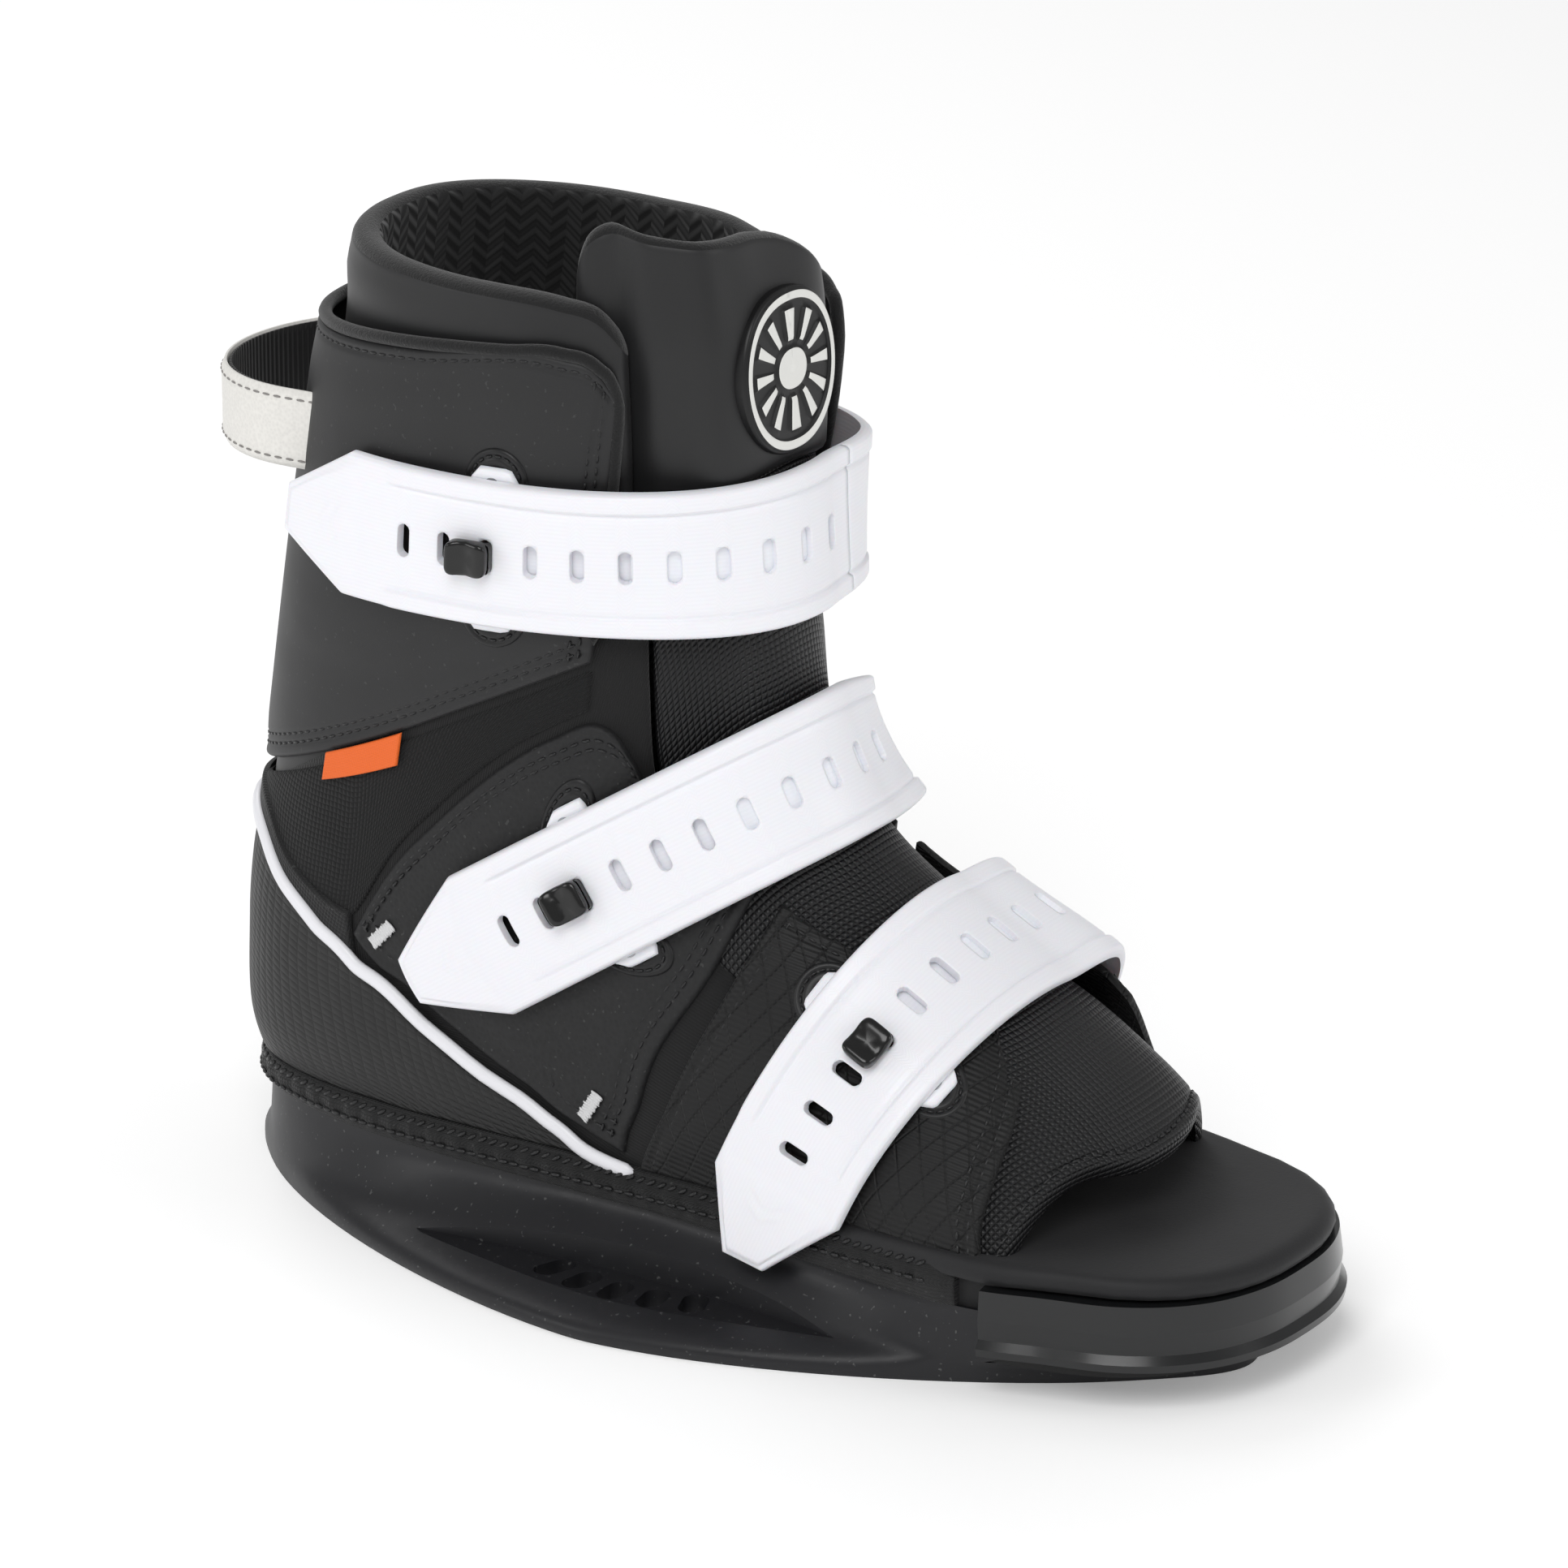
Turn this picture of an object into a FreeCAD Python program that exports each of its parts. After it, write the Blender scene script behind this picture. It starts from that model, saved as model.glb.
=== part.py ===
"""Right-foot open-toe wakeboard binding with three hook-and-slot straps.

Millimetres. X points to the medial (big toe) side, Y to the heel, Z up. The origin is the
centre of the screw circle on the underside of the base plate.
"""
import FreeCAD
import Part
import math
import os

# ---- driving dimensions ------------------------------------------------------------------
SOLE_SLOPE = 0.016          # rise of the sole line from toe to heel, mm per mm
SOLE_HEIGHT = 23.0          # top of the base plate at the origin
RIM_THICKNESS = 4.0         # straight edge of the flange
BASE_HALF_WIDTH = 77.0
BASE_FRONT, BASE_REAR = -151.0, 152.0
BASE_FLOOR = 6.0
BASE_WALL = 6.0
RIM_SKEW = 6.0              # the flange leans to the medial side at the toe
TOE_TIP = -160.0            # front of the sole line, inside the bumper
TOE_CENTRE_X, TOE_HALF_WIDTH, TOE_START = 5.0, 49.0, -101.0
TOE_ROUNDNESS = 2.5
BUMPER_WALL, BUMPER_TURN_DEG, BUMPER_GAP = 4.6, 26.0, 0.4
RAND_START = 0.082          # section at which the rand strip begins, behind the bumper
SLOT_CIRCLE_RADIUS = 60.0   # screw slots lie on this circle about the origin
SLOT_PITCH_DEG = 10.5
SLOTS_PER_SIDE = 5
SLOT_LENGTH, SLOT_WIDTH = 12.0, 7.0
POCKET_FLOOR = 7.5
PANEL = 2.2                 # thickness of the sewn outer panels
FIT = 0.2                   # air between neighbouring layers
LINER_GAP, LINER_WALL = 3.0, 8.0
PAD_MEDIAL = 0.64           # fan angle of the upper tongue pad's medial edge
FLARE, FLAP_EDGE = 9.0, 0.70  # rise of the medial panels' free edges, and their fan angle
STRAP_WIDTH, STRAP_THICKNESS = 39.5, 2.6
STRAP_LIFT = 3.3            # underside of an outer strap above the boot
UNDER_LIFT, UNDER_THICKNESS = 1.3, 1.6
UNDER_DIP = 0.7             # the under-strap runs lower beneath the bend line
STRAP_SLOT_PITCH, STRAP_SLOT_LENGTH, STRAP_SLOT_WIDTH = 12.0, 3.6, 9.0
HINGE_GAP = 2.1
HOOK_LENGTH, HOOK_WIDTH, HOOK_NECK = 11.0, 8.4, 3.0
ANCHOR_RADIUS, RIVET_RADIUS = 9.5, 2.2
ANCHOR_LEVEL, ANCHOR_THICKNESS = 0.2, 0.8
STUD_OFFSET = 18.0          # studs lie this far to each side of the strap's centre line
LOOP_WIDTH, LOOP_FACE, LOOP_LINING = 21.0, 1.3, 1.2

# Fan sections of the upper. v runs from the toe opening (0) to the cuff edge (1). Each section
# lies in a plane through X, from the front point F to the back point B. Columns:
# v, F.y, F.z, B.y, B.z, half width, widest place from F to B, front roundness, back roundness,
# centre X, lean of the ridge to the medial side
SECTIONS = (
    (0.00, -127, 54, -100, 8, 53, .66, 2.1, 4.0, 4, 7),
    (0.12, -103, 69, -78, 8, 53, .66, 2.1, 4.0, 5, 7),
    (0.25, -78, 85, -45, 8, 51, .64, 2.1, 4.0, 5, 7),
    (0.38, -54, 101, -5, 8, 47, .62, 2.1, 3.6, 4, 5),
    (0.50, -35, 117, 45, 8, 46, .60, 2.1, 3.5, 3, 3),
    (0.58, -25, 134, 100, 10, 46, .58, 2.1, 3.5, 2, 1.5),
    (0.66, -20, 153, 141, 28, 45, .55, 2.1, 2.9, 1, 0),
    (0.74, -17, 175, 148, 66, 45, .52, 2.2, 2.5, 0, 0),
    (0.82, -15, 200, 142, 118, 46, .50, 2.2, 2.3, 0, 0),
    (0.90, -13, 225, 132, 176, 49, .50, 2.3, 2.3, 0, 0),
    (1.00, -11, 252, 120, 240, 51, .50, 2.3, 2.3, 0, 0),
)
# Fan sections of the padded collar, which stands inside the cuff and above it. Same columns.
COLLAR = (
    (0.80, -12, 194, 139, 106, 43, .50, 2.2, 2.3, 0, 0),
    (0.90, -10, 225, 124, 176, 44, .50, 2.3, 2.3, 0, 0),
    (1.00, -8, 253, 113, 238, 46, .50, 2.3, 2.3, 0, 0),
    (1.10, -8, 276, 109, 268, 47, .50, 2.3, 2.3, 0, 0),
)
# Each strap lies in a plane: unit normal (Y, Z), distance, fan angle of its bend line, of its
# hook, of its medial end and of the place where the tail turns straight, and the tail's length.
STRAPS = {
    "top": dict(ny=0.0, nz=1.0, d=195.8, bend=0.90, hook=1.383, medial=-1.80, straight=1.85,
                tail=99.0, panel="cuff"),
    "middle": dict(ny=0.545, nz=0.84, d=100.5, bend=0.66, hook=1.095, medial=-1.62,
                   straight=1.48, tail=99.0, panel="quarter"),
    "toe": dict(ny=0.91, nz=0.41, d=-22.3, bend=0.28, hook=0.778, medial=-1.50, straight=1.50,
                tail=99.0, panel="forefoot"),
}


# ---- plain geometry ----------------------------------------------------------------------
def vec(x, y, z):
    return FreeCAD.Vector(x, y, z)


def smooth(a, b, x):
    t = min(max((x - a) / (b - a), 0.0), 1.0)
    return t * t * (3 - 2 * t)


def hermite(x, xs, ys):
    """Smooth curve through (xs, ys) with slopes weighted by the neighbouring spans."""
    n = len(xs)
    slopes = [(ys[i + 1] - ys[i]) / (xs[i + 1] - xs[i]) for i in range(n - 1)]
    tangents = [slopes[0]]
    for i in range(1, n - 1):
        before, after = xs[i] - xs[i - 1], xs[i + 1] - xs[i]
        tangents.append((slopes[i - 1] * after + slopes[i] * before) / (before + after))
    tangents.append(slopes[-1])
    i = 0
    while i < n - 2 and x > xs[i + 1]:
        i += 1
    h = xs[i + 1] - xs[i]
    t = (x - xs[i]) / h
    if t < 0:
        return ys[0] + (x - xs[0]) * tangents[0]
    if t > 1:
        return ys[-1] + (x - xs[-1]) * tangents[-1]
    return ((2 * t**3 - 3 * t**2 + 1) * ys[i] + (t**3 - 2 * t**2 + t) * h * tangents[i]
            + (3 * t**2 - 2 * t**3) * ys[i + 1] + (t**3 - t**2) * h * tangents[i + 1])


def path(points):
    """Curve s -> point through a short list, spaced by chord length, s from 0 to 1."""
    lengths = [0.0]
    for a, b in zip(points, points[1:]):
        lengths.append(lengths[-1] + math.dist(a, b))
    stops = [length / lengths[-1] for length in lengths]
    columns = list(zip(*points))
    return lambda s: tuple(hermite(s, stops, column) for column in columns)


def fan_point(table, phi, v):
    """Point of a fan form. phi is 0 at the front, positive to the lateral side, pi behind."""
    stations = [row[0] for row in table]
    yf, zf, yb, zb, w, m, nf, nb, xc, lean = (
        hermite(v, stations, [row[k] for row in table]) for k in range(1, 11))
    c, s = math.cos(phi), math.sin(phi)
    n = nf if c >= 0 else nb
    a = abs(c) ** (2 / n)
    b = abs(s) ** (2 / n)
    p = m * (1 - a) if c >= 0 else m + (1 - m) * a
    ridge = lean * a * a if c >= 0 else 0.0
    return vec(xc + ridge - math.copysign(w * b, s), yf + (yb - yf) * p, zf + (zb - zf) * p)


def boot(phi, v):
    return fan_point(SECTIONS, phi, v)


def normal(phi, v, form=boot):
    """Outward unit normal of a fan form, from central differences."""
    h = 0.01
    around = form(phi + h, v) - form(phi - h, v)
    along = form(phi, v + h) - form(phi, v - h)
    n = along.cross(around)
    n.normalize()
    return n


def skin(phi, v, lift):
    return boot(phi, v) + normal(phi, v) * lift


def liner_form(phi, v):
    """Outer face of the liner: under the panels below, the free collar above the cuff."""
    below = skin(phi, min(v, 1.0), -LINER_GAP)
    above = fan_point(COLLAR, phi, max(v, 0.80))
    t = smooth(0.80, 0.92, v)
    return below * (1 - t) + above * t


def coons(low, high, start=None, end=None):
    """Blend four curves of (phi, v) into a map of the unit square."""
    def line(a, b):
        return lambda t: tuple(p + (q - p) * t for p, q in zip(a, b))

    start = start or line(low(0), high(0))
    end = end or line(low(1), high(1))
    corners = (low(0), low(1), high(0), high(1))

    def place(s, t):
        values = []
        for k in range(2):
            edges = ((1 - t) * low(s)[k] + t * high(s)[k]
                     + (1 - s) * start(t)[k] + s * end(t)[k])
            twist = ((1 - s) * (1 - t) * corners[0][k] + s * (1 - t) * corners[1][k]
                     + (1 - s) * t * corners[2][k] + s * t * corners[3][k])
            values.append(edges - twist)
        return values
    return place


def poles_through(points):
    """Poles of the cubic spline with even knots that passes through the points."""
    last = len(points) - 1
    weights = [2.0] + [4.0] * (last - 1) + [2.0]
    slopes = [(points[min(i + 1, last)] - points[max(i - 1, 0)]) * 3 for i in range(last + 1)]
    for i in range(1, last + 1):
        factor = 1.0 / weights[i - 1]
        weights[i] -= factor
        slopes[i] = slopes[i] - slopes[i - 1] * factor
    slopes[last] = slopes[last] * (1.0 / weights[last])
    for i in range(last - 1, -1, -1):
        slopes[i] = (slopes[i] - slopes[i + 1]) * (1.0 / weights[i])
    leave = [p + m * (1 / 3) for p, m in zip(points[:-1], slopes[:-1])]
    arrive = [p - m * (1 / 3) for p, m in zip(points[1:], slopes[1:])]
    middle = [arrive[i] * 2 - leave[i] for i in range(last - 1)]
    return [points[0], leave[0]] + middle + [arrive[-1], points[-1]]


def spline_face(poles, degree=3):
    """Face on a spline surface with even knots, of the given degree along its first side."""
    def knots(count, order):
        spans = count - order
        return [order + 1] + [1] * (spans - 1) + [order + 1], [float(k) for k in range(spans + 1)]

    u_mults, u_knots = knots(len(poles), degree)
    v_mults, v_knots = knots(len(poles[0]), 3)
    surface = Part.BSplineSurface()
    surface.buildFromPolesMultsKnots(poles, u_mults, v_mults, u_knots, v_knots,
                                     False, False, degree, 3)
    return surface.toShape()


def slab(outer, inner, rows, cols):
    """Closed solid between two surfaces given as functions of the unit square."""
    nets = []
    for face in (outer, inner):
        grid = [[face(i / (rows - 1), j / (cols - 1)) for j in range(cols)]
                for i in range(rows)]
        along = [poles_through(row) for row in grid]
        columns = [poles_through(list(column)) for column in zip(*along)]
        nets.append([list(row) for row in zip(*columns)])
    top, under = nets
    faces = [spline_face(top), spline_face(under)]
    for pick in (lambda net: net[0], lambda net: net[-1],
                 lambda net: [row[0] for row in net], lambda net: [row[-1] for row in net]):
        faces.append(spline_face([pick(top), pick(under)], degree=1))
    skin_faces = Part.Compound(faces)
    skin_faces.sewShape(0.001)
    solid = Part.Solid(skin_faces.Shells[0])
    if solid.Volume < 0:
        solid.reverse()
    return solid


def panel(place, lift_outer, lift_inner, rows=25, cols=11, surface=skin):
    """Sewn panel over the boot. Lifts are numbers or functions of (phi, v)."""
    def layer(lift):
        def at(s, t):
            phi, v = place(s, t)
            return surface(phi, v, lift(phi, v) if callable(lift) else lift)
        return at
    return slab(layer(lift_outer), layer(lift_inner), rows, cols)


def mirrored(place):
    """The same patch on the medial side."""
    def at(s, t):
        phi, v = place(s, t)
        return -phi, v
    return at


def frame_at(origin, x_dir, z_dir):
    """Placement with local X and Z along the given directions."""
    z_dir = FreeCAD.Vector(z_dir).normalize()
    x_dir = x_dir - z_dir * x_dir.dot(z_dir)
    x_dir.normalize()
    y_dir = z_dir.cross(x_dir)
    return FreeCAD.Placement(origin, FreeCAD.Rotation(x_dir, y_dir, z_dir, "ZXY"))


def boxed(frame, x0, x1, y0, y1, z0, z1):
    box = Part.makeBox(x1 - x0, y1 - y0, z1 - z0, vec(x0, y0, z0))
    box.Placement = frame
    return box


def rod(frame, radius, z0, z1):
    cylinder = Part.makeCylinder(radius, z1 - z0, vec(0, 0, z0))
    cylinder.Placement = frame
    return cylinder


def cut(shape, tools):
    """Cut tools away and keep one solid."""
    result = shape.cut(tools)
    return max(result.Solids, key=lambda solid: solid.Volume)


def save(name, *solids):
    shape = solids[0] if len(solids) == 1 else Part.Compound(list(solids))
    shape.exportStep(os.path.join("parts", name + ".step"))
    print(f"{name:24s} solids {len(shape.Solids)} volume {shape.Volume:9.0f}"
          f" valid {all(s.isValid() for s in shape.Solids)}")


# ---- sole line ---------------------------------------------------------------------------
def sole_z(y):
    return SOLE_HEIGHT + SOLE_SLOPE * y


def low_phi(v, z):
    """Fan angle at which a section comes down to the height z on the lateral side."""
    low, high = 0.9, math.pi
    if boot(high, v).z > z:
        return high
    for _ in range(40):
        middle = (low + high) / 2
        if boot(middle, v).z > z:
            low = middle
        else:
            high = middle
    return low


def heel_v(z):
    """Section whose back point is at the height z."""
    low, high = 0.58, 0.80
    for _ in range(40):
        middle = (low + high) / 2
        if boot(math.pi, middle).z < z:
            low = middle
        else:
            high = middle
    return low


def side_line(z, v_from, count):
    """Points (phi, v) of the lateral sole line at the height z, from v_from to the heel."""
    last = heel_v(z)
    line = []
    for i in range(count):
        v = v_from + (last - v_from) * math.sin(math.pi / 2 * i / (count - 1))
        line.append((low_phi(v, z), v))
    line[-1] = (math.pi, last)
    return line


def sole_points():
    """Plan outline of the sole: lateral side, round the heel, medial side, round the toe."""
    lateral = [boot(phi, v) for phi, v in side_line(30.0, 0.06, 14)]
    medial = [boot(-phi, v) for phi, v in side_line(30.0, 0.06, 14)][-2::-1]
    points = [(p.x, p.y) for p in lateral + medial]
    toe = []
    for i in range(1, 12):
        turn = math.pi * i / 12
        across, along = math.cos(turn), math.sin(turn)
        power = 2 / TOE_ROUNDNESS
        toe.append((TOE_CENTRE_X + TOE_HALF_WIDTH * math.copysign(abs(across) ** power, across),
                    TOE_START + (TOE_TIP - TOE_START) * abs(along) ** power))
    return points + toe


SOLE_POINTS = sole_points()
CENTRE = (3.0, 0.0)


def sole_radius(turn):
    """Distance from CENTRE to the sole outline in the direction turn (0 is +Y, to +X)."""
    rays = sorted((math.atan2(x - CENTRE[0], y - CENTRE[1]),
                   math.hypot(x - CENTRE[0], y - CENTRE[1])) for x, y in SOLE_POINTS)
    rays = ([(a - 2 * math.pi, r) for a, r in rays[-3:]] + rays
            + [(a + 2 * math.pi, r) for a, r in rays[:3]])
    turn = math.atan2(math.sin(turn), math.cos(turn))
    return hermite(turn, [a for a, r in rays], [r for a, r in rays])


def rim_radius(turn):
    """The same for the flange's outline, a superellipse with pointed ends."""
    power = 1.55
    low, high = 0.0, 200.0
    for _ in range(40):
        middle = (low + high) / 2
        y = CENTRE[1] + middle * math.cos(turn)
        x = CENTRE[0] + middle * math.sin(turn) - RIM_SKEW * smooth(0, -150, y)
        reach = BASE_REAR if y > 0 else -BASE_FRONT
        inside = (abs(x) / BASE_HALF_WIDTH) ** power + (abs(y) / reach) ** power < 1
        low, high = (middle, high) if inside else (low, middle)
    return low


STEPS = 48
TURNS = [2 * math.pi * i / STEPS for i in range(STEPS)]
SOLE_R = [sole_radius(turn) for turn in TURNS]
RIM_R = [rim_radius(turn) for turn in TURNS]


def outline(blend, inset, height, slope=0.0):
    """Closed wire in a plane, between the flange (blend 0) and the sole line (blend 1)."""
    points = []
    for turn, sole, rim in zip(TURNS, SOLE_R, RIM_R):
        r = rim + (sole - rim) * blend - inset
        x, y = CENTRE[0] + r * math.sin(turn), CENTRE[1] + r * math.cos(turn)
        points.append(vec(x, y, height + slope * y))
    curve = Part.BSplineCurve()
    curve.interpolate(points, PeriodicFlag=True)
    return Part.Wire(curve.toShape())


def outline_block(blend, inset, z0, z1, slope=0.0):
    return Part.makeLoft([outline(blend, inset, z0), outline(blend, inset, z1, slope)],
                         True, True)


# ---- base --------------------------------------------------------------------------------
SCREW_SPOTS = ((-20, -95), (24, -95), (-19, 100), (19, 100))


def base_parts():
    flare = ((0.0, 0.0), (RIM_THICKNESS, 0.02), (7.0, 0.25), (11.0, 0.55), (16.0, 0.80),
             (SOLE_HEIGHT, 1.0))
    wires = [outline(blend, 0.0, z, SOLE_SLOPE * blend) for z, blend in flare]
    chassis = Part.makeLoft(wires, True, False)
    recess = outline_block(1.0, BASE_WALL, BASE_FLOOR, 60.0)
    tools = [recess]
    for side in (-1, 1):
        tools.append(pocket(side))
        tools += [slot(side, k - SLOTS_PER_SIDE // 2) for k in range(SLOTS_PER_SIDE)]
    for x, y in SCREW_SPOTS:
        tools.append(Part.makeCylinder(3.2, 20, vec(x, y, -1)))
        tools.append(Part.makeCylinder(6.2, 3.0, vec(x, y, -1)))
    save("base_chassis", cut(chassis, tools))

    board_z = BASE_FLOOR + FIT
    screws = []
    nuts = []
    for x, y in SCREW_SPOTS:
        shank = Part.makeCylinder(2.9, 8.0, vec(x, y, 0.6))
        head = Part.makeCylinder(5.6, 1.3, vec(x, y, 0.5))
        drive = Part.makeBox(3.2, 3.2, 1.0, vec(x - 1.6, y - 1.6, 0.3))
        screws.append(shank.fuse(head).cut(drive).Solids[0])
        nut = Part.makeCylinder(8.0, 1.4, vec(x, y, board_z + 2.0 + FIT))
        nuts.append(nut.cut(Part.makeCylinder(3.1, 30, vec(x, y, 0))).Solids[0])
    save("chassis_screws", *screws)
    save("tee_nuts", *nuts)
    board = outline_block(1.0, BASE_WALL + 1.0, board_z, board_z + 2.0)
    board = cut(board, [Part.makeCylinder(3.4, 30, vec(x, y, 0)) for x, y in SCREW_SPOTS])
    save("insole_board", board)

    core_z = board_z + 2.0 + FIT
    core = outline_block(1.0, BASE_WALL + 1.0, core_z, 29.5, 0.008)
    front = Part.makeBox(200, 70, 40, vec(-100, -175, 0))
    slab_top = Part.makeLoft([outline(1.0, -3.6, 30.2, 0.002), outline(1.0, -3.0, 33.0, 0.002),
                              outline(1.0, 0.5, 35.6, 0.002)], True, False).common(front)
    bed = core.fuse(slab_top.Solids[0])
    nut_room = [Part.makeCylinder(8.4, 4, vec(x, y, core_z - 1)) for x, y in SCREW_SPOTS]
    save("footbed", cut(bed, nut_room))


def pocket(side):
    """Almond scoop between two arcs in plan, open at the top of the flange's side."""
    def arc(x_end, x_mid, y0, y1):
        return Part.Arc(vec(x_end * side, y0, POCKET_FLOOR),
                        vec(x_mid * side, (y0 + y1) / 2, POCKET_FLOOR),
                        vec(x_end * side, y1, POCKET_FLOOR)).toShape()
    inner = arc(55.0, 49.5, -66, 66)
    outer = arc(55.0, 72.0, -66, 66)
    return Part.Face(Part.Wire([inner, outer])).extrude(vec(0, 0, 40))


def slot(side, k):
    """Radial screw slot number k, from -2 to 2, through the pocket's floor."""
    turn = math.radians(k * SLOT_PITCH_DEG)
    half = (SLOT_LENGTH - SLOT_WIDTH) / 2
    r = SLOT_WIDTH / 2
    out = vec(side * math.cos(turn), math.sin(turn), 0)
    across = vec(-out.y, out.x, 0)
    centre = out * SLOT_CIRCLE_RADIUS + vec(0, 0, -1)
    corners = [centre + out * a + across * b for a, b in
               ((-half, -r), (half, -r), (half, r), (-half, r))]
    body = Part.Face(Part.makePolygon(corners + corners[:1])).extrude(vec(0, 0, 40))
    ends = [Part.makeCylinder(r, 40, centre + out * a) for a in (-half, half)]
    return body.fuse(ends)


def toe_line(s):
    """Sole outline round the toe, s from 0 at the lateral end to 1 at the medial end."""
    turn = math.pi + math.radians(BUMPER_TURN_DEG) * (1 - 2 * s)
    r = sole_radius(turn)
    x, y = CENTRE[0] + r * math.sin(turn), CENTRE[1] + r * math.cos(turn)
    step = 0.01
    ahead, behind = sole_radius(turn + step), sole_radius(turn - step)
    tangent = vec(ahead * math.sin(turn + step) - behind * math.sin(turn - step),
                  ahead * math.cos(turn + step) - behind * math.cos(turn - step), 0)
    tangent.normalize()
    return vec(x, y, 0), vec(-tangent.y, tangent.x, 0)


def toe_bumper():
    """Glossy bumper round the toe: a bulged wall with a lip along its lower edge."""
    profile = ((0.0, 12.5), (BUMPER_WALL + 1.6, 12.5), (BUMPER_WALL + 1.8, 14.5),
               (BUMPER_WALL, 16.5), (BUMPER_WALL + 0.6, 22.0), (BUMPER_WALL - 0.4, 29.4),
               (0.0, 29.4))
    wires = []
    for i in range(25):
        point, out = toe_line(i / 24)
        wires.append(Part.makePolygon([point + out * (BUMPER_GAP + r) + vec(0, 0, z)
                                       for r, z in profile + profile[:1]]))
    save("toe_bumper", Part.makeLoft(wires, True, False))


def rand_strip():
    """Folded fabric strip between the base and the panels, open at the toe."""
    line = [boot(phi, v) for phi, v in side_line(30.0, RAND_START, 14)]
    other = [boot(-phi, v) for phi, v in side_line(30.0, RAND_START, 14)][-2::-1]
    middle = path([(p.x, p.y) for p in line + other])

    def wall(out):
        def at(s, t):
            x, y = middle(s)
            step = 0.004
            (xa, ya), (xb, yb) = middle(max(s - step, 0)), middle(min(s + step, 1))
            side = vec(yb - ya, xa - xb, 0)
            side.normalize()
            centre_side = vec(x - CENTRE[0], y - CENTRE[1], 0)
            if side.dot(centre_side) < 0:
                side = side * -1
            low = sole_z(y) + FIT
            return vec(x, y, low + (32.6 - low) * t) + side * out
        return at
    save("rand_strip", slab(wall(1.2), wall(-1.4), 61, 4))


# ---- upper -------------------------------------------------------------------------------
PIPING = ((1.700, .446), (1.720, .478), (1.670, .517), (1.627, .551), (1.620, .586),
          (1.647, .626), (1.766, .675), (1.947, .712), (2.185, .747), (2.387, .772),
          (2.60, .787), (math.pi, .797))
MESH_LOW = ((1.03, .751), (1.15, .753), (1.39, .750), (1.64, .729), (1.79, .703), (1.93, .722),
            (2.185, .755), (2.387, .779), (2.60, .794), (math.pi, .803))
CUFF_LOW = ((1.02, .783), (1.6, .793), (2.48, .808), (math.pi - .004, .812))
CUFF_HIGH = ((.885, .964), (.98, .988), (1.15, 1.0), (1.7, 1.0), (2.5, 1.0), (math.pi - .004, 1.0))
QUARTER_HIGH = ((.86, .690), (.93, .722), (1.0, .738), (1.15, .745), (1.39, .742), (1.64, .720),
                (1.775, .693))
QUARTER_FRONT = ((.647, .530), (1.0, .504), (1.39, .492), (1.685, .468))
QUARTER_REAR = ((1.685, .468), (1.645, .514), (1.600, .550), (1.594, .586), (1.620, .630),
                (1.69, .662), (1.775, .693))
FOREFOOT_FRONT = ((.207, .221), (.427, .165), (.63, .137), (.979, .107), (1.226, .085),
                  (1.39, .060))
FOREFOOT_REAR = ((.60, .505), (1.0, .482), (1.4, .464), (1.68, .450))
FOREFOOT_TOP = ((.207, .221), (.41, .33), (.54, .42), (.60, .505))
VAMP_EDGE = ((-1.5, .030), (-1.2, .043), (-.9, .050), (-.55, .042), (-.2, .016), (.1, .006),
             (.24, .009), (.6, .046), (.98, .050), (1.25, .041), (1.54, .028))
COLLAR_EDGE = ((.86, .995), (1.0, 1.035), (1.2, 1.052), (1.57, 1.060), (2.2, 1.070),
               (math.pi, 1.085))
PANEL_LOW = 33.2            # height of the panels' lower edge
PER_PHI, PER_V = 55.0, 690.0  # lengths of a unit of phi and of v at the boot's side
PIPING_HALF, PIPING_HEIGHT, COUNTER_INSET = 2.1, 1.25, 1.2


def flare(phi, v):
    """How far the medial panels' free front edges stand off the tongue."""
    if phi >= 0:
        return 0.0
    return FLARE * (1 - smooth(FLAP_EDGE, 1.50, -phi)) * smooth(0.05, 0.25, v)


def inner_flare(phi, v):
    return flare(phi, v) - PANEL


def forefoot_low():
    """Lower edge of the forefoot panel along the sole line."""
    stops = [.060 + (.450 - .060) * i / 6 for i in range(7)]
    return path([(low_phi(v, PANEL_LOW), v) for v in stops])


def panel_maps():
    """Places of the sewn panels on the lateral side."""
    return {
        "cuff": coons(path(CUFF_LOW), path(CUFF_HIGH)),
        "mesh": coons(path(MESH_LOW), path([(phi, v - .006) for phi, v in CUFF_LOW])),
        "quarter": coons(path(QUARTER_FRONT), path(QUARTER_HIGH), end=path(QUARTER_REAR)),
        "forefoot": coons(path(FOREFOOT_FRONT), path(FOREFOOT_REAR),
                          start=path(FOREFOOT_TOP), end=forefoot_low()),
    }


def medial_maps():
    """The same panels on the medial side, with shorter front edges."""
    rear_end = path(QUARTER_REAR)
    quarter_front = ((.76, .525), (1.0, .504), (1.39, .492), (1.685, .468))
    front = ((.70, .19), (.95, .150), (1.15, .110), (1.39, .060))
    rear = ((.74, .497), (1.0, .482), (1.4, .464), (1.68, .450))
    cuff_low = ((.92, .783),) + CUFF_LOW[1:]
    cuff_high = ((FLAP_EDGE, .964), (.80, .988), (1.05, 1.0)) + CUFF_HIGH[3:]
    maps = {
        "cuff": coons(path(cuff_low), path(cuff_high)),
        "mesh": coons(path(MESH_LOW), path([(phi, v - .006) for phi, v in CUFF_LOW])),
        "quarter": coons(path(quarter_front), path(QUARTER_HIGH), end=rear_end),
        "forefoot": coons(path(front), path(rear), end=forefoot_low()),
    }
    return {name: mirrored(place) for name, place in maps.items()}


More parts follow.
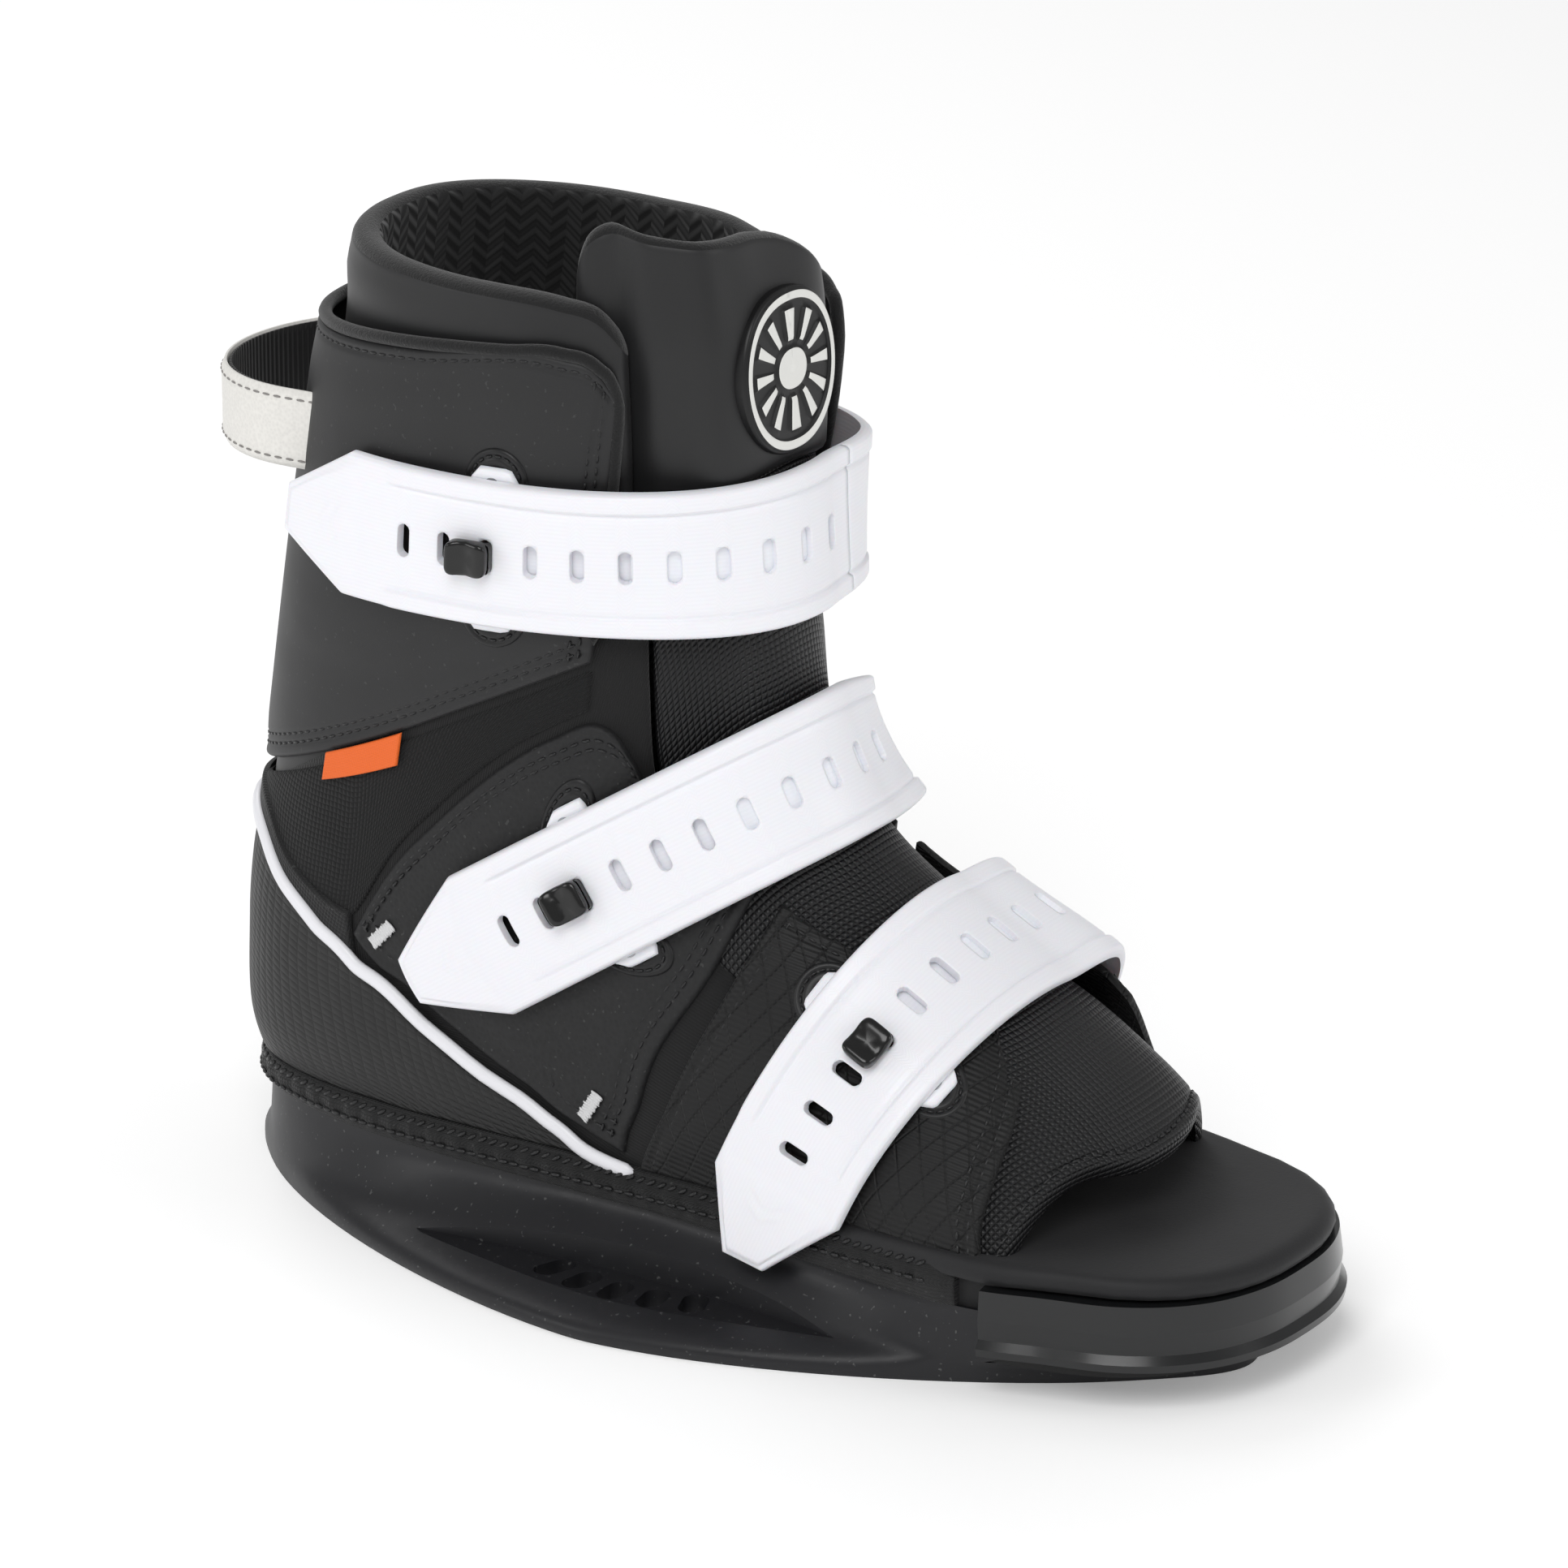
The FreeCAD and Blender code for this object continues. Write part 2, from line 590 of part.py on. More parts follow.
def beside(points, offset):
    """A line on the boot moved sideways by offset, to the left of its own direction."""
    moved = []
    for i, (phi, v) in enumerate(points):
        (phi0, v0), (phi1, v1) = points[max(i - 1, 0)], points[min(i + 1, len(points) - 1)]
        run, rise = (phi1 - phi0) * PER_PHI, (v1 - v0) * PER_V
        length = math.hypot(run, rise)
        moved.append((phi - rise / length * offset / PER_PHI, v + run / length * offset / PER_V))
    return moved


def heel_counter():
    """One moulded counter round the heel, between the sole line and the piping."""
    low = [p for p in side_line(PANEL_LOW, .475, 9)]
    low += [(2 * math.pi - phi, v) for phi, v in low[-2::-1]]
    high = beside(PIPING, -COUNTER_INSET)[1:]
    high += [(2 * math.pi - phi, v) for phi, v in high[-2::-1]]
    return coons(path(low), path(high))


def upper_parts(anchors):
    for side, maps in (("lateral", panel_maps()), ("medial", medial_maps())):
        for name, place in maps.items():
            outer, inner = flare, inner_flare
            if name == "mesh":
                outer, inner = -0.6, -PANEL
            solid = panel(place, outer, inner)
            holes = [rod(frame, RIVET_RADIUS + FIT, -9, 12)
                     for owner, at, frame in anchors if at == side and owner == name]
            save(f"{name}_{side}", cut(solid, holes) if holes else solid)
    save("heel_counter", panel(heel_counter(), 0.0, -PANEL, rows=61, cols=9))
    both = list(PIPING) + [(2 * math.pi - phi, v) for phi, v in PIPING[-2::-1]]
    ribbon = coons(path(beside(both, -PIPING_HALF)), path(beside(both, PIPING_HALF)))
    save("heel_piping", panel(ribbon, PIPING_HEIGHT, FIT, rows=81, cols=4))
    tacks = []
    for (phi0, v0), (phi1, v1) in (((1.70, .678), (1.62, .683)), ((1.635, .506), (1.55, .508))):
        for sign in (1, -1):
            start, end = skin(phi0 * sign, v0, FIT), skin(phi1 * sign, v1, FIT)
            frame = frame_at((start + end) * 0.5, end - start, normal(phi0 * sign, v0))
            tacks.append(boxed(frame, -4.0, 4.0, -1.6, 1.6, 0.1, 1.0))
    save("bar_tacks", *tacks)
    tag = coons(path(((1.655, .7765), (1.985, .787))), path(((1.655, .7925), (1.985, .799))))
    save("side_tag", panel(tag, 0.9, 0.0, rows=7, cols=5))


def liner_surface(phi, v, lift):
    return liner_form(phi, v) + normal(phi, v, liner_form) * lift


def liner_and_tongue():
    """Padded inner sleeve, open at the front, and the tongue that closes it."""
    low = [(.86, .60), (1.4, .60), (math.pi, .70), (2 * math.pi - 1.4, .60),
           (2 * math.pi - .86, .60)]
    high = list(COLLAR_EDGE) + [(2 * math.pi - phi, v) for phi, v in COLLAR_EDGE[-2::-1]]
    sleeve = coons(path(low), path(high))
    save("liner_sleeve", panel(sleeve, 0.0, -LINER_WALL, rows=41, cols=21,
                               surface=liner_surface))

    def bulge(phi, v):
        rise = smooth(.50, .62, v)
        return -2.5 + rise * (2.4 * (1 - smooth(.35, .80, abs(phi))) - .5)

    def under(phi, v):
        return bulge(phi, v) - 4.5

    def edge(t):
        return 1.38 - .41 * smooth(.02, .20, t) - .18 * smooth(.56, .70, t)

    toe_edge = path(VAMP_EDGE)
    stops = [toe_edge(i / 40) for i in range(41)]

    def lower(s, t):
        phi = edge(t) * (1 - 2 * s)
        front = hermite(phi, [stop[0] for stop in stops], [stop[1] for stop in stops])
        return phi, front + (.852 - front) * t
    save("tongue_lower", panel(lower, bulge, under, rows=19, cols=31))

    def upper(s, t):
        return .79 - (.79 + PAD_MEDIAL) * s, .872 + .228 * t * (1 - .10 * (2 * s - 1) ** 2)

    def pad(phi, v):
        return -.6 - 2.2 * smooth(.35, .80, abs(phi)) - 3.0 * smooth(.99, 1.10, v)

    def pad_under(phi, v):
        return pad(phi, v) - 11.0 + 5.0 * smooth(1.03, 1.10, v)
    save("tongue_top", panel(upper, pad, pad_under, rows=19, cols=15))

    badge_v, reach_phi, reach_v = .957, .385, .0775

    def disc(s, t):
        a, b = 2 * s - 1, 2 * t - 1
        return (-reach_phi * a * math.sqrt(1 - b * b / 2),
                badge_v + reach_v * b * math.sqrt(1 - a * a / 2))
    save("tongue_badge", panel(disc, 2.2, 0.1, rows=13, cols=13))


# ---- straps ------------------------------------------------------------------------------
class Strap:
    """One strap: places on its band are given by (s, w), arc length from the bend line towards
    the tip and distance across the width."""

    def __init__(self, name):
        self.name = name
        self.data = STRAPS[name]
        phis = [self.data["medial"] + (self.data["straight"] - self.data["medial"]) * i / 80
                for i in range(81)]
        points = [self.on_boot(phi, 0.0, STRAP_LIFT) for phi in phis]
        run = [0.0]
        for a, b in zip(points, points[1:]):
            run.append(run[-1] + (b - a).Length)
        zero = hermite(self.data["bend"], phis, run)
        self.phis, self.run = phis, [r - zero for r in run]
        self.hook_s = hermite(self.data["hook"], self.phis, self.run)

    def section(self, phi, w):
        """Section v in which the strap's line w crosses the fan angle phi."""
        low, high = 0.0, 1.0
        for _ in range(36):
            middle = (low + high) / 2
            p = boot(phi, middle)
            if p.y * self.data["ny"] + p.z * self.data["nz"] < self.data["d"] + w:
                low = middle
            else:
                high = middle
        return low

    def lift(self, phi, v, base):
        """The strap clears the medial panels' raised edges."""
        raised = flare(-.70, v) * smooth(-.15, -.66, phi) if phi > -.70 else flare(phi, v)
        if base < STRAP_LIFT:
            return base - UNDER_DIP * math.exp(-((phi - self.data["bend"]) / .14) ** 2)
        ease = 1.9 * smooth(-1.0, -1.5, phi)
        return base + raised - ease

    def on_boot(self, phi, w, base):
        v = self.section(phi, w)
        return skin(phi, v, self.lift(phi, v, base))

    def point(self, s, w, base):
        if s <= self.run[-1]:
            return self.on_boot(hermite(s, self.run, self.phis), w, base)
        a = self.on_boot(hermite(self.run[-1] - 1.0, self.run, self.phis), w, base)
        b = self.on_boot(self.phis[-1], w, base)
        return b + (b - a) * (s - self.run[-1])

    def frame(self, s, w=0.0, base=STRAP_LIFT):
        """Local frame: X towards the tip, Z outwards."""
        along = self.point(s + .5, w, base) - self.point(s - .5, w, base)
        across = self.point(s, w + .5, base) - self.point(s, w - .5, base)
        out = along.cross(across)
        if out.dot(self.point(s, w, base + 1.0) - self.point(s, w, base)) < 0:
            out = out * -1
        return frame_at(self.point(s, w, base), along, out)

    def band(self, s0, s1, half_width, base, thickness, rows=31, cols=7):
        def layer(level):
            def at(a, b):
                s = s0 + (s1 - s0) * a
                return self.point(s, half_width(s) * (2 * b - 1), level)
            return at
        return slab(layer(base + thickness), layer(base), rows, cols)

    def disc(self, w, level, thickness):
        """Round washer that follows the boot under the strap, centred at the hook and w."""
        def layer(height):
            def at(a, b):
                x, y = 2 * a - 1, 2 * b - 1
                return self.point(self.hook_s + ANCHOR_RADIUS * x * math.sqrt(1 - y * y / 2),
                                  w + ANCHOR_RADIUS * y * math.sqrt(1 - x * x / 2), height)
            return at
        return slab(layer(level + thickness), layer(level), 9, 9)

    def slots(self, s0, s1):
        """Adjusting slots at whole pitches from the hook, between s0 and s1."""
        tools = []
        first = math.ceil((s0 - self.hook_s) / STRAP_SLOT_PITCH)
        last = math.floor((s1 - self.hook_s) / STRAP_SLOT_PITCH)
        for k in range(first, last + 1):
            if k == 0:
                continue
            frame = self.frame(self.hook_s + k * STRAP_SLOT_PITCH)
            tools.append(boxed(frame, -STRAP_SLOT_LENGTH / 2, STRAP_SLOT_LENGTH / 2,
                               -STRAP_SLOT_WIDTH / 2, STRAP_SLOT_WIDTH / 2, -1.2, 4.5))
        return tools

    def build(self):
        tail_end = self.data["tail"]

        def tail_width(s):
            taper = min(max((s - (tail_end - 21.0)) / 21.0, 0.0), 1.0)
            return STRAP_WIDTH / 2 - (STRAP_WIDTH / 2 - 6.5) * taper

        def band_width(s):
            taper = 1 - smooth(self.run[0], self.run[0] + 9.0, s)
            return STRAP_WIDTH / 2 * (1 - .35 * taper)

        def under_width(s):
            spread = 1 - smooth(4.0, 11.0, abs(s - self.hook_s))
            tip = 1 - smooth(self.under_end, self.under_end + 10.0, s)
            return 13.0 * (1 - .45 * tip) + 9.5 * spread

        self.under_end = hermite(-.60, self.phis, self.run)
        tail = self.band(0.0, tail_end, tail_width, STRAP_LIFT, STRAP_THICKNESS, rows=43)
        hook = self.frame(self.hook_s)
        half = STRAP_SLOT_WIDTH / 2 + 0.6
        catch = boxed(hook, -HOOK_NECK / 2 - 0.6, HOOK_LENGTH + 0.6, -half, half, -2.0, 6.0)
        tail = cut(tail, self.slots(8.0, tail_end - 34.0) + [catch])
        save(f"strap_{self.name}_tail", tail)

        band = self.band(self.run[0], -HINGE_GAP, band_width, STRAP_LIFT, STRAP_THICKNESS,
                         rows=61)
        rivets = [self.frame(self.run[0] + 9.0, w) for w in (-9.0, 9.0)]
        holes = [rod(frame, RIVET_RADIUS + FIT, -9, 9) for frame in rivets]
        band = cut(band, self.slots(-62.0, -6.0) + holes)
        save(f"strap_{self.name}_band", band)

        under = self.band(self.under_end, self.hook_s + 9.0, under_width, UNDER_LIFT,
                          UNDER_THICKNESS, rows=41)
        studs = [self.frame(self.hook_s, w, UNDER_LIFT) for w in (-STUD_OFFSET, STUD_OFFSET)]
        under = cut(under, [rod(frame, RIVET_RADIUS + FIT, -9, 9) for frame in studs])
        save(f"understrap_{self.name}", under)

        neck = boxed(hook, -HOOK_NECK / 2, HOOK_NECK / 2, -HOOK_WIDTH / 2 + .4,
                     HOOK_WIDTH / 2 - .4, -0.36, STRAP_THICKNESS + 1.4)
        lip = boxed(hook, -HOOK_NECK / 2, HOOK_LENGTH - HOOK_NECK / 2 - 1.0, -HOOK_WIDTH / 2,
                    HOOK_WIDTH / 2, STRAP_THICKNESS + 0.5, STRAP_THICKNESS + 3.0)
        lip = lip.makeFillet(0.8, [e for e in lip.Edges if e.Length < HOOK_WIDTH - .1
                                   and e.Length > 2.6 or e.Length > HOOK_WIDTH + .1])
        save(f"hook_{self.name}", neck.fuse(lip).Solids[0])
        return studs, rivets


def anchors_of(straps):
    """Stud frames for each strap: owner panel, side, frame."""
    anchors = []
    for strap, studs, rivets in straps:
        anchors += [(strap.data["panel"], "lateral", frame) for frame in studs]
        anchors += [(strap.data["panel"], "medial", frame) for frame in rivets]
    return anchors


def anchor_parts(straps):
    washers, studs_out, rivets_out = [], [], []
    for strap, studs, rivets in straps:
        for w, frame in zip((-STUD_OFFSET, STUD_OFFSET), studs):
            washers.append(cut(strap.disc(w, ANCHOR_LEVEL, ANCHOR_THICKNESS),
                               [rod(frame, RIVET_RADIUS + FIT, -3, 3)]))
            studs_out.append(rod(frame, RIVET_RADIUS, -3.4, UNDER_THICKNESS))
        for frame in rivets:
            shank = rod(frame, RIVET_RADIUS, -4.4, STRAP_THICKNESS + 0.4)
            head = rod(frame, 5.0, STRAP_THICKNESS + 0.15, STRAP_THICKNESS + 1.3)
            rivets_out.append(shank.fuse(head).Solids[0])
    save("anchor_discs", *washers)
    save("anchor_studs", *studs_out)
    save("strap_rivets", *rivets_out)


# ---- pull loop ---------------------------------------------------------------------------
LOOP_Z = 212.0               # the loop turns about X at this height
LOOP_START_Y, LOOP_REACH, LOOP_HALF_X = 118.0, 34.5, 35.0
TAB_GAP, TAB_WALL, TAB_END_Y = 2.2, 2.2, 124.5


def cuff_back_y(x, z):
    """Y of the cuff's outer face behind, at the half width x and the height z."""
    low, high = math.pi / 2, math.pi
    for _ in range(30):
        phi = (low + high) / 2
        v_low, v_high = 0.7, 1.0
        for _ in range(30):
            v = (v_low + v_high) / 2
            v_low, v_high = (v, v_high) if boot(phi, v).z < z else (v_low, v)
        low, high = (phi, high) if abs(boot(phi, v).x) > x else (low, phi)
    return boot(phi, v).y


def loop_parts():
    """Finger loop behind the cuff. Its ends lap the sewn tabs and turn about X there."""
    def ring(out0, out1):
        def layer(out):
            def at(s, t):
                turn = math.pi * s
                return vec(-(LOOP_HALF_X + out) * math.cos(turn),
                           LOOP_START_Y + (LOOP_REACH + out) * math.sin(turn),
                           LOOP_Z + LOOP_WIDTH * (t - .5))
            return at
        return slab(layer(out1), layer(out0), 41, 4)

    save("pull_loop_lining", ring(0.0, LOOP_LINING))
    save("pull_loop", ring(LOOP_LINING + .1, LOOP_LINING + .1 + LOOP_FACE))
    x1 = LOOP_HALF_X - TAB_GAP
    z0, z1 = LOOP_Z - LOOP_WIDTH / 2 + 2, LOOP_Z + LOOP_WIDTH / 2 - 2
    corners = [(cuff_back_y(x1 - TAB_WALL, z0) + .3, z0), (TAB_END_Y, z0), (TAB_END_Y, z1),
               (cuff_back_y(x1 - TAB_WALL, z1) + .3, z1)]
    tabs = []
    for x in (x1 - TAB_WALL, -x1):
        outline_points = [vec(x, y, z) for y, z in corners + corners[:1]]
        tabs.append(Part.Face(Part.makePolygon(outline_points)).extrude(vec(TAB_WALL, 0, 0)))
    save("pull_loop_tabs", *tabs)


def main():
    os.makedirs("parts", exist_ok=True)
    base_parts()
    toe_bumper()
    rand_strip()
    straps = []
    for name in STRAPS:
        strap = Strap(name)
        straps.append((strap, *strap.build()))
        hinge = strap.frame(0.0, 0.0, STRAP_LIFT + STRAP_THICKNESS / 2)
        print("bend line", name, hinge.Base, hinge.Rotation.multVec(vec(0, 1, 0)))
    anchor_parts(straps)
    upper_parts(anchors_of(straps))
    liner_and_tongue()
    loop_parts()


main()
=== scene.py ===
"""Looks of an open-toe board boot with three hook-and-slot straps, built round its CAD frame.

Shapes are worked out in millimetres and put into meshes in metres. The boot is a fan of sections:
phi is the angle round a section (0 in front, positive to the lateral side, pi behind) and v the
section number from the toe opening (0) to the cuff's edge (1).
"""
import logging
import math
from dataclasses import dataclass, field
from enum import Enum
from typing import Callable, Sequence

import bmesh
import bpy
import numpy as np
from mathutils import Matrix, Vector


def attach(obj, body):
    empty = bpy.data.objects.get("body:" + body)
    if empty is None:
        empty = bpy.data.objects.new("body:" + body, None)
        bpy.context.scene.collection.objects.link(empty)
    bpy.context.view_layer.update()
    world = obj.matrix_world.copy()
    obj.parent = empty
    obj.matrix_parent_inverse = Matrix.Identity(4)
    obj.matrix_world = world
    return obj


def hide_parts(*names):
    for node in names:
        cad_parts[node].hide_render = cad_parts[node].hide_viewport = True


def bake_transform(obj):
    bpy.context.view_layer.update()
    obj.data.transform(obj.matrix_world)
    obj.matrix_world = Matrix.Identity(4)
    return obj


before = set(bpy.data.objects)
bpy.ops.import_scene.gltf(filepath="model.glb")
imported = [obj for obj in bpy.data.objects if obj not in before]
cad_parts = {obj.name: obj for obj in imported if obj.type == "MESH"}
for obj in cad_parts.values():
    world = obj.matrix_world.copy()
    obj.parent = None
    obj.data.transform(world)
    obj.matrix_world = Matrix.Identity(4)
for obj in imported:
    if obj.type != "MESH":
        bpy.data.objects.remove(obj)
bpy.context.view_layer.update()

LOG = logging.getLogger("boot")
MM = 0.001
Array = np.ndarray
Place = Callable[[Array, Array], Array]


# ---- numbers along curves ------------------------------------------------------------------
def smooth(a: float, b: float, x: Array) -> Array:
    """Rises from 0 at a to 1 at b with level ends: 3 t squared minus 2 t cubed."""
    t = np.clip((np.asarray(x, float) - a) / (b - a), 0.0, 1.0)
    return t * t * (3 - 2 * t)


def hump(x: Array, centre: float, width: float) -> Array:
    """Bell of height 1: e to the minus ((x - centre) / width) squared."""
    return np.exp(-(((np.asarray(x, float) - centre) / width) ** 2))


def unit(vectors: Array) -> Array:
    """Vectors divided by their lengths."""
    return vectors / np.maximum(np.linalg.norm(vectors, axis=-1, keepdims=True), 1e-12)


class Track:
    """Smooth curve through (xs, ys): cubic pieces whose slopes weigh the spans beside each point."""

    def __init__(self, xs: Sequence[float], ys: Sequence[float]) -> None:
        """Works out the slopes.

        Args:
            xs: Rising stations.
            ys: Values there.
        """
        self.xs, self.ys = np.array(xs, float), np.array(ys, float)
        spans = np.diff(self.xs)
        slopes = np.diff(self.ys) / spans
        inner = (slopes[:-1] * spans[1:] + slopes[1:] * spans[:-1]) / (spans[:-1] + spans[1:])
        self.tangents = np.concatenate([slopes[:1], inner, slopes[-1:]])

    def __call__(self, x: Array) -> Array:
        """Values at x, running on straight past both ends."""
        x = np.asarray(x, float)
        i = np.clip(np.searchsorted(self.xs, x, side="left") - 1, 0, len(self.xs) - 2)
        h = self.xs[i + 1] - self.xs[i]
        t = np.clip((x - self.xs[i]) / h, 0, 1)
        inside = ((2 * t**3 - 3 * t**2 + 1) * self.ys[i]
                  + (t**3 - 2 * t**2 + t) * h * self.tangents[i]
                  + (3 * t**2 - 2 * t**3) * self.ys[i + 1]
                  + (t**3 - t**2) * h * self.tangents[i + 1])
        under = np.minimum(x - self.xs[0], 0) * self.tangents[0]
        over = np.maximum(x - self.xs[-1], 0) * self.tangents[-1]
        return inside + under + over


def path(points: Sequence[Sequence[float]]) -> Callable[[Array], Array]:
    """Curve through a short list of points, with s from 0 to 1 spaced by chord length.

    Args:
        points: Two or more points.

    Returns:
        A function of s that gives points in an array's last axis.
    """
    table = np.array(points, float)
    runs = np.concatenate([[0], np.cumsum(np.linalg.norm(np.diff(table, axis=0), axis=1))])
    tracks = [Track(runs / runs[-1], column) for column in table.T]
    return lambda s: np.stack([track(s) for track in tracks], axis=-1)


def coons(low: Callable, high: Callable, start: Callable | None = None,
          end: Callable | None = None) -> Place:
    """Patch between four curves: the two ruled blends, less the blend of the four corners.

    Args:
        low: Edge at t = 0.
        high: Edge at t = 1.
        start: Edge at s = 0, straight if it isn't given.
        end: Edge at s = 1, straight if it isn't given.

    Returns:
        A function of (s, t) that gives (phi, v).
    """
    zero, one = np.array(0.0), np.array(1.0)
    c00, c10, c01, c11 = low(zero), low(one), high(zero), high(one)
    start = start or (lambda t: c00 + (c01 - c00) * np.asarray(t)[..., None])
    end = end or (lambda t: c10 + (c11 - c10) * np.asarray(t)[..., None])

    def place(s: Array, t: Array) -> Array:
        """(phi, v) at (s, t)."""
        a, b = np.asarray(s, float)[..., None], np.asarray(t, float)[..., None]
        edges = (1 - b) * low(s) + b * high(s) + (1 - a) * start(t) + a * end(t)
        return edges - ((1 - a) * (1 - b) * c00 + a * (1 - b) * c10
                        + (1 - a) * b * c01 + a * b * c11)
    return place


def mirrored(place: Place) -> Place:
    """The same patch on the medial side: phi changes sign."""
    return lambda s, t: place(s, t) * np.array([-1.0, 1.0])


# ---- the boot's form -------------------------------------------------------------------------
@dataclass(frozen=True)
class Fan:
    """Fan of sections. Rows: v, F.y, F.z, B.y, B.z, half width, widest place, front roundness,
    back roundness, centre x, ridge lean. F is a section's front point and B its back point."""

    rows: tuple[tuple[float, ...], ...]

    def tracks(self) -> list[Track]:
        """One curve along v for each column."""
        table = np.array(self.rows)
        return [Track(table[:, 0], table[:, k]) for k in range(1, 11)]

    def at(self, phi: Array, v: Array) -> Array:
        """Points: the centre line runs from F to B, and a superellipse of phi goes across it."""
        phi, v = np.broadcast_arrays(np.asarray(phi, float), np.asarray(v, float))
        yf, zf, yb, zb, w, m, nf, nb, xc, lean = (track(v) for track in self.tracks())
        c, s = np.cos(phi), np.sin(phi)
        n = np.where(c >= 0, nf, nb)
        a, b = np.abs(c) ** (2 / n), np.abs(s) ** (2 / n)
        p = np.where(c >= 0, m * (1 - a), m + (1 - m) * a)
        ridge = np.where(c >= 0, lean * a * a, 0.0)
        return np.stack([xc + ridge - np.sign(s) * w * b, yf + (yb - yf) * p,
                         zf + (zb - zf) * p], axis=-1)

    def out(self, phi: Array, v: Array) -> Array:
        """Outward unit normals from central differences."""
        h = 0.01
        around = self.at(phi + h, v) - self.at(phi - h, v)
        along = self.at(phi, v + h) - self.at(phi, v - h)
        return unit(np.cross(along, around))

    def skin(self, phi: Array, v: Array, lift: Array) -> Array:
        """Points moved outwards by lift."""
        return self.at(phi, v) + self.out(phi, v) * np.asarray(lift, float)[..., None]


BOOT = Fan((
    (0.00, -127, 54, -100, 8, 53, .66, 2.1, 4.0, 4, 7),
    (0.12, -103, 69, -78, 8, 53, .66, 2.1, 4.0, 5, 7),
    (0.25, -78, 85, -45, 8, 51, .64, 2.1, 4.0, 5, 7),
    (0.38, -54, 101, -5, 8, 47, .62, 2.1, 3.6, 4, 5),
    (0.50, -35, 117, 45, 8, 46, .60, 2.1, 3.5, 3, 3),
    (0.58, -25, 134, 100, 10, 46, .58, 2.1, 3.5, 2, 1.5),
    (0.66, -20, 153, 141, 28, 45, .55, 2.1, 2.9, 1, 0),
    (0.74, -17, 175, 148, 66, 45, .52, 2.2, 2.5, 0, 0),
    (0.82, -15, 200, 142, 118, 46, .50, 2.2, 2.3, 0, 0),
    (0.90, -13, 225, 132, 176, 49, .50, 2.3, 2.3, 0, 0),
    (1.00, -11, 252, 120, 240, 51, .50, 2.3, 2.3, 0, 0)))
COLLAR_FAN = Fan((
    (0.80, -12, 194, 139, 106, 43, .50, 2.2, 2.3, 0, 0),
    (0.90, -10, 225, 124, 176, 44, .50, 2.3, 2.3, 0, 0),
    (1.00, -8, 253, 113, 238, 46, .50, 2.3, 2.3, 0, 0),
    (1.10, -8, 276, 109, 268, 47, .50, 2.3, 2.3, 0, 0)))


class LinerForm:
    """Outer face of the padded sleeve: under the panels below, the free collar above."""

    def at(self, phi: Array, v: Array) -> Array:
        """Points: a blend of the boot's skin 3 mm in and the collar's own fan."""
        below = BOOT.skin(phi, np.minimum(v, 1.0), np.full(np.shape(phi), -3.0))
        above = COLLAR_FAN.at(phi, np.maximum(v, 0.80))
        t = smooth(0.80, 0.92, v)[..., None]
        return below * (1 - t) + above * t

    def skin(self, phi: Array, v: Array, lift: Array) -> Array:
        """Points moved outwards by lift."""
        h = 0.01
        around = self.at(phi + h, v) - self.at(phi - h, v)
        along = self.at(phi, v + h) - self.at(phi, v - h)
        return self.at(phi, v) + unit(np.cross(along, around)) * np.asarray(lift)[..., None]


LINER = LinerForm()
FLARE, FLAP_EDGE = 9.0, 0.70
STRAP_PLANES = ((0.0, 1.0, 195.8), (0.545, 0.84, 100.5), (0.91, 0.41, -22.3))


def flare(phi: Array, v: Array) -> Array:
    """How far the medial panels' free front edges stand off the tongue."""
    side = np.where(phi < 0, 1.0, 0.0)
    return side * FLARE * (1 - smooth(FLAP_EDGE, 1.50, -phi)) * smooth(0.05, 0.25, v)


def level(lift: float) -> Callable[[Array, Array], Array]:
    """A lift that is the same everywhere."""
    return lambda phi, v: np.full(np.shape(phi), lift)


def low_phi(v: Array, z: float) -> Array:
    """Fan angle at which sections v come down to the height z, by halving."""
    low, high = np.full(np.shape(v), 0.9), np.full(np.shape(v), math.pi)
    for _ in range(40):
        middle = (low + high) / 2
        above = BOOT.at(middle, v)[..., 2] > z
        low, high = np.where(above, middle, low), np.where(above, high, middle)
    return np.where(BOOT.at(np.full(np.shape(v), math.pi), v)[..., 2] > z, math.pi, low)


def heel_v(z: float) -> float:
    """Section whose back point is at the height z, by halving."""
    low, high = 0.58, 0.80
    for _ in range(40):
        middle = (low + high) / 2
        low, high = (middle, high) if BOOT.at(math.pi, middle)[2] < z else (low, middle)
    return low


def side_line(z: float, v_from: float, count: int) -> list[tuple[float, float]]:
    """(phi, v) along the lateral sole line at the height z, from v_from to the heel."""
    last = heel_v(z)
    v = v_from + (last - v_from) * np.sin(math.pi / 2 * np.arange(count) / (count - 1))
    line = list(zip(low_phi(v, z).tolist(), v.tolist()))
    return line[:-1] + [(math.pi, last)]


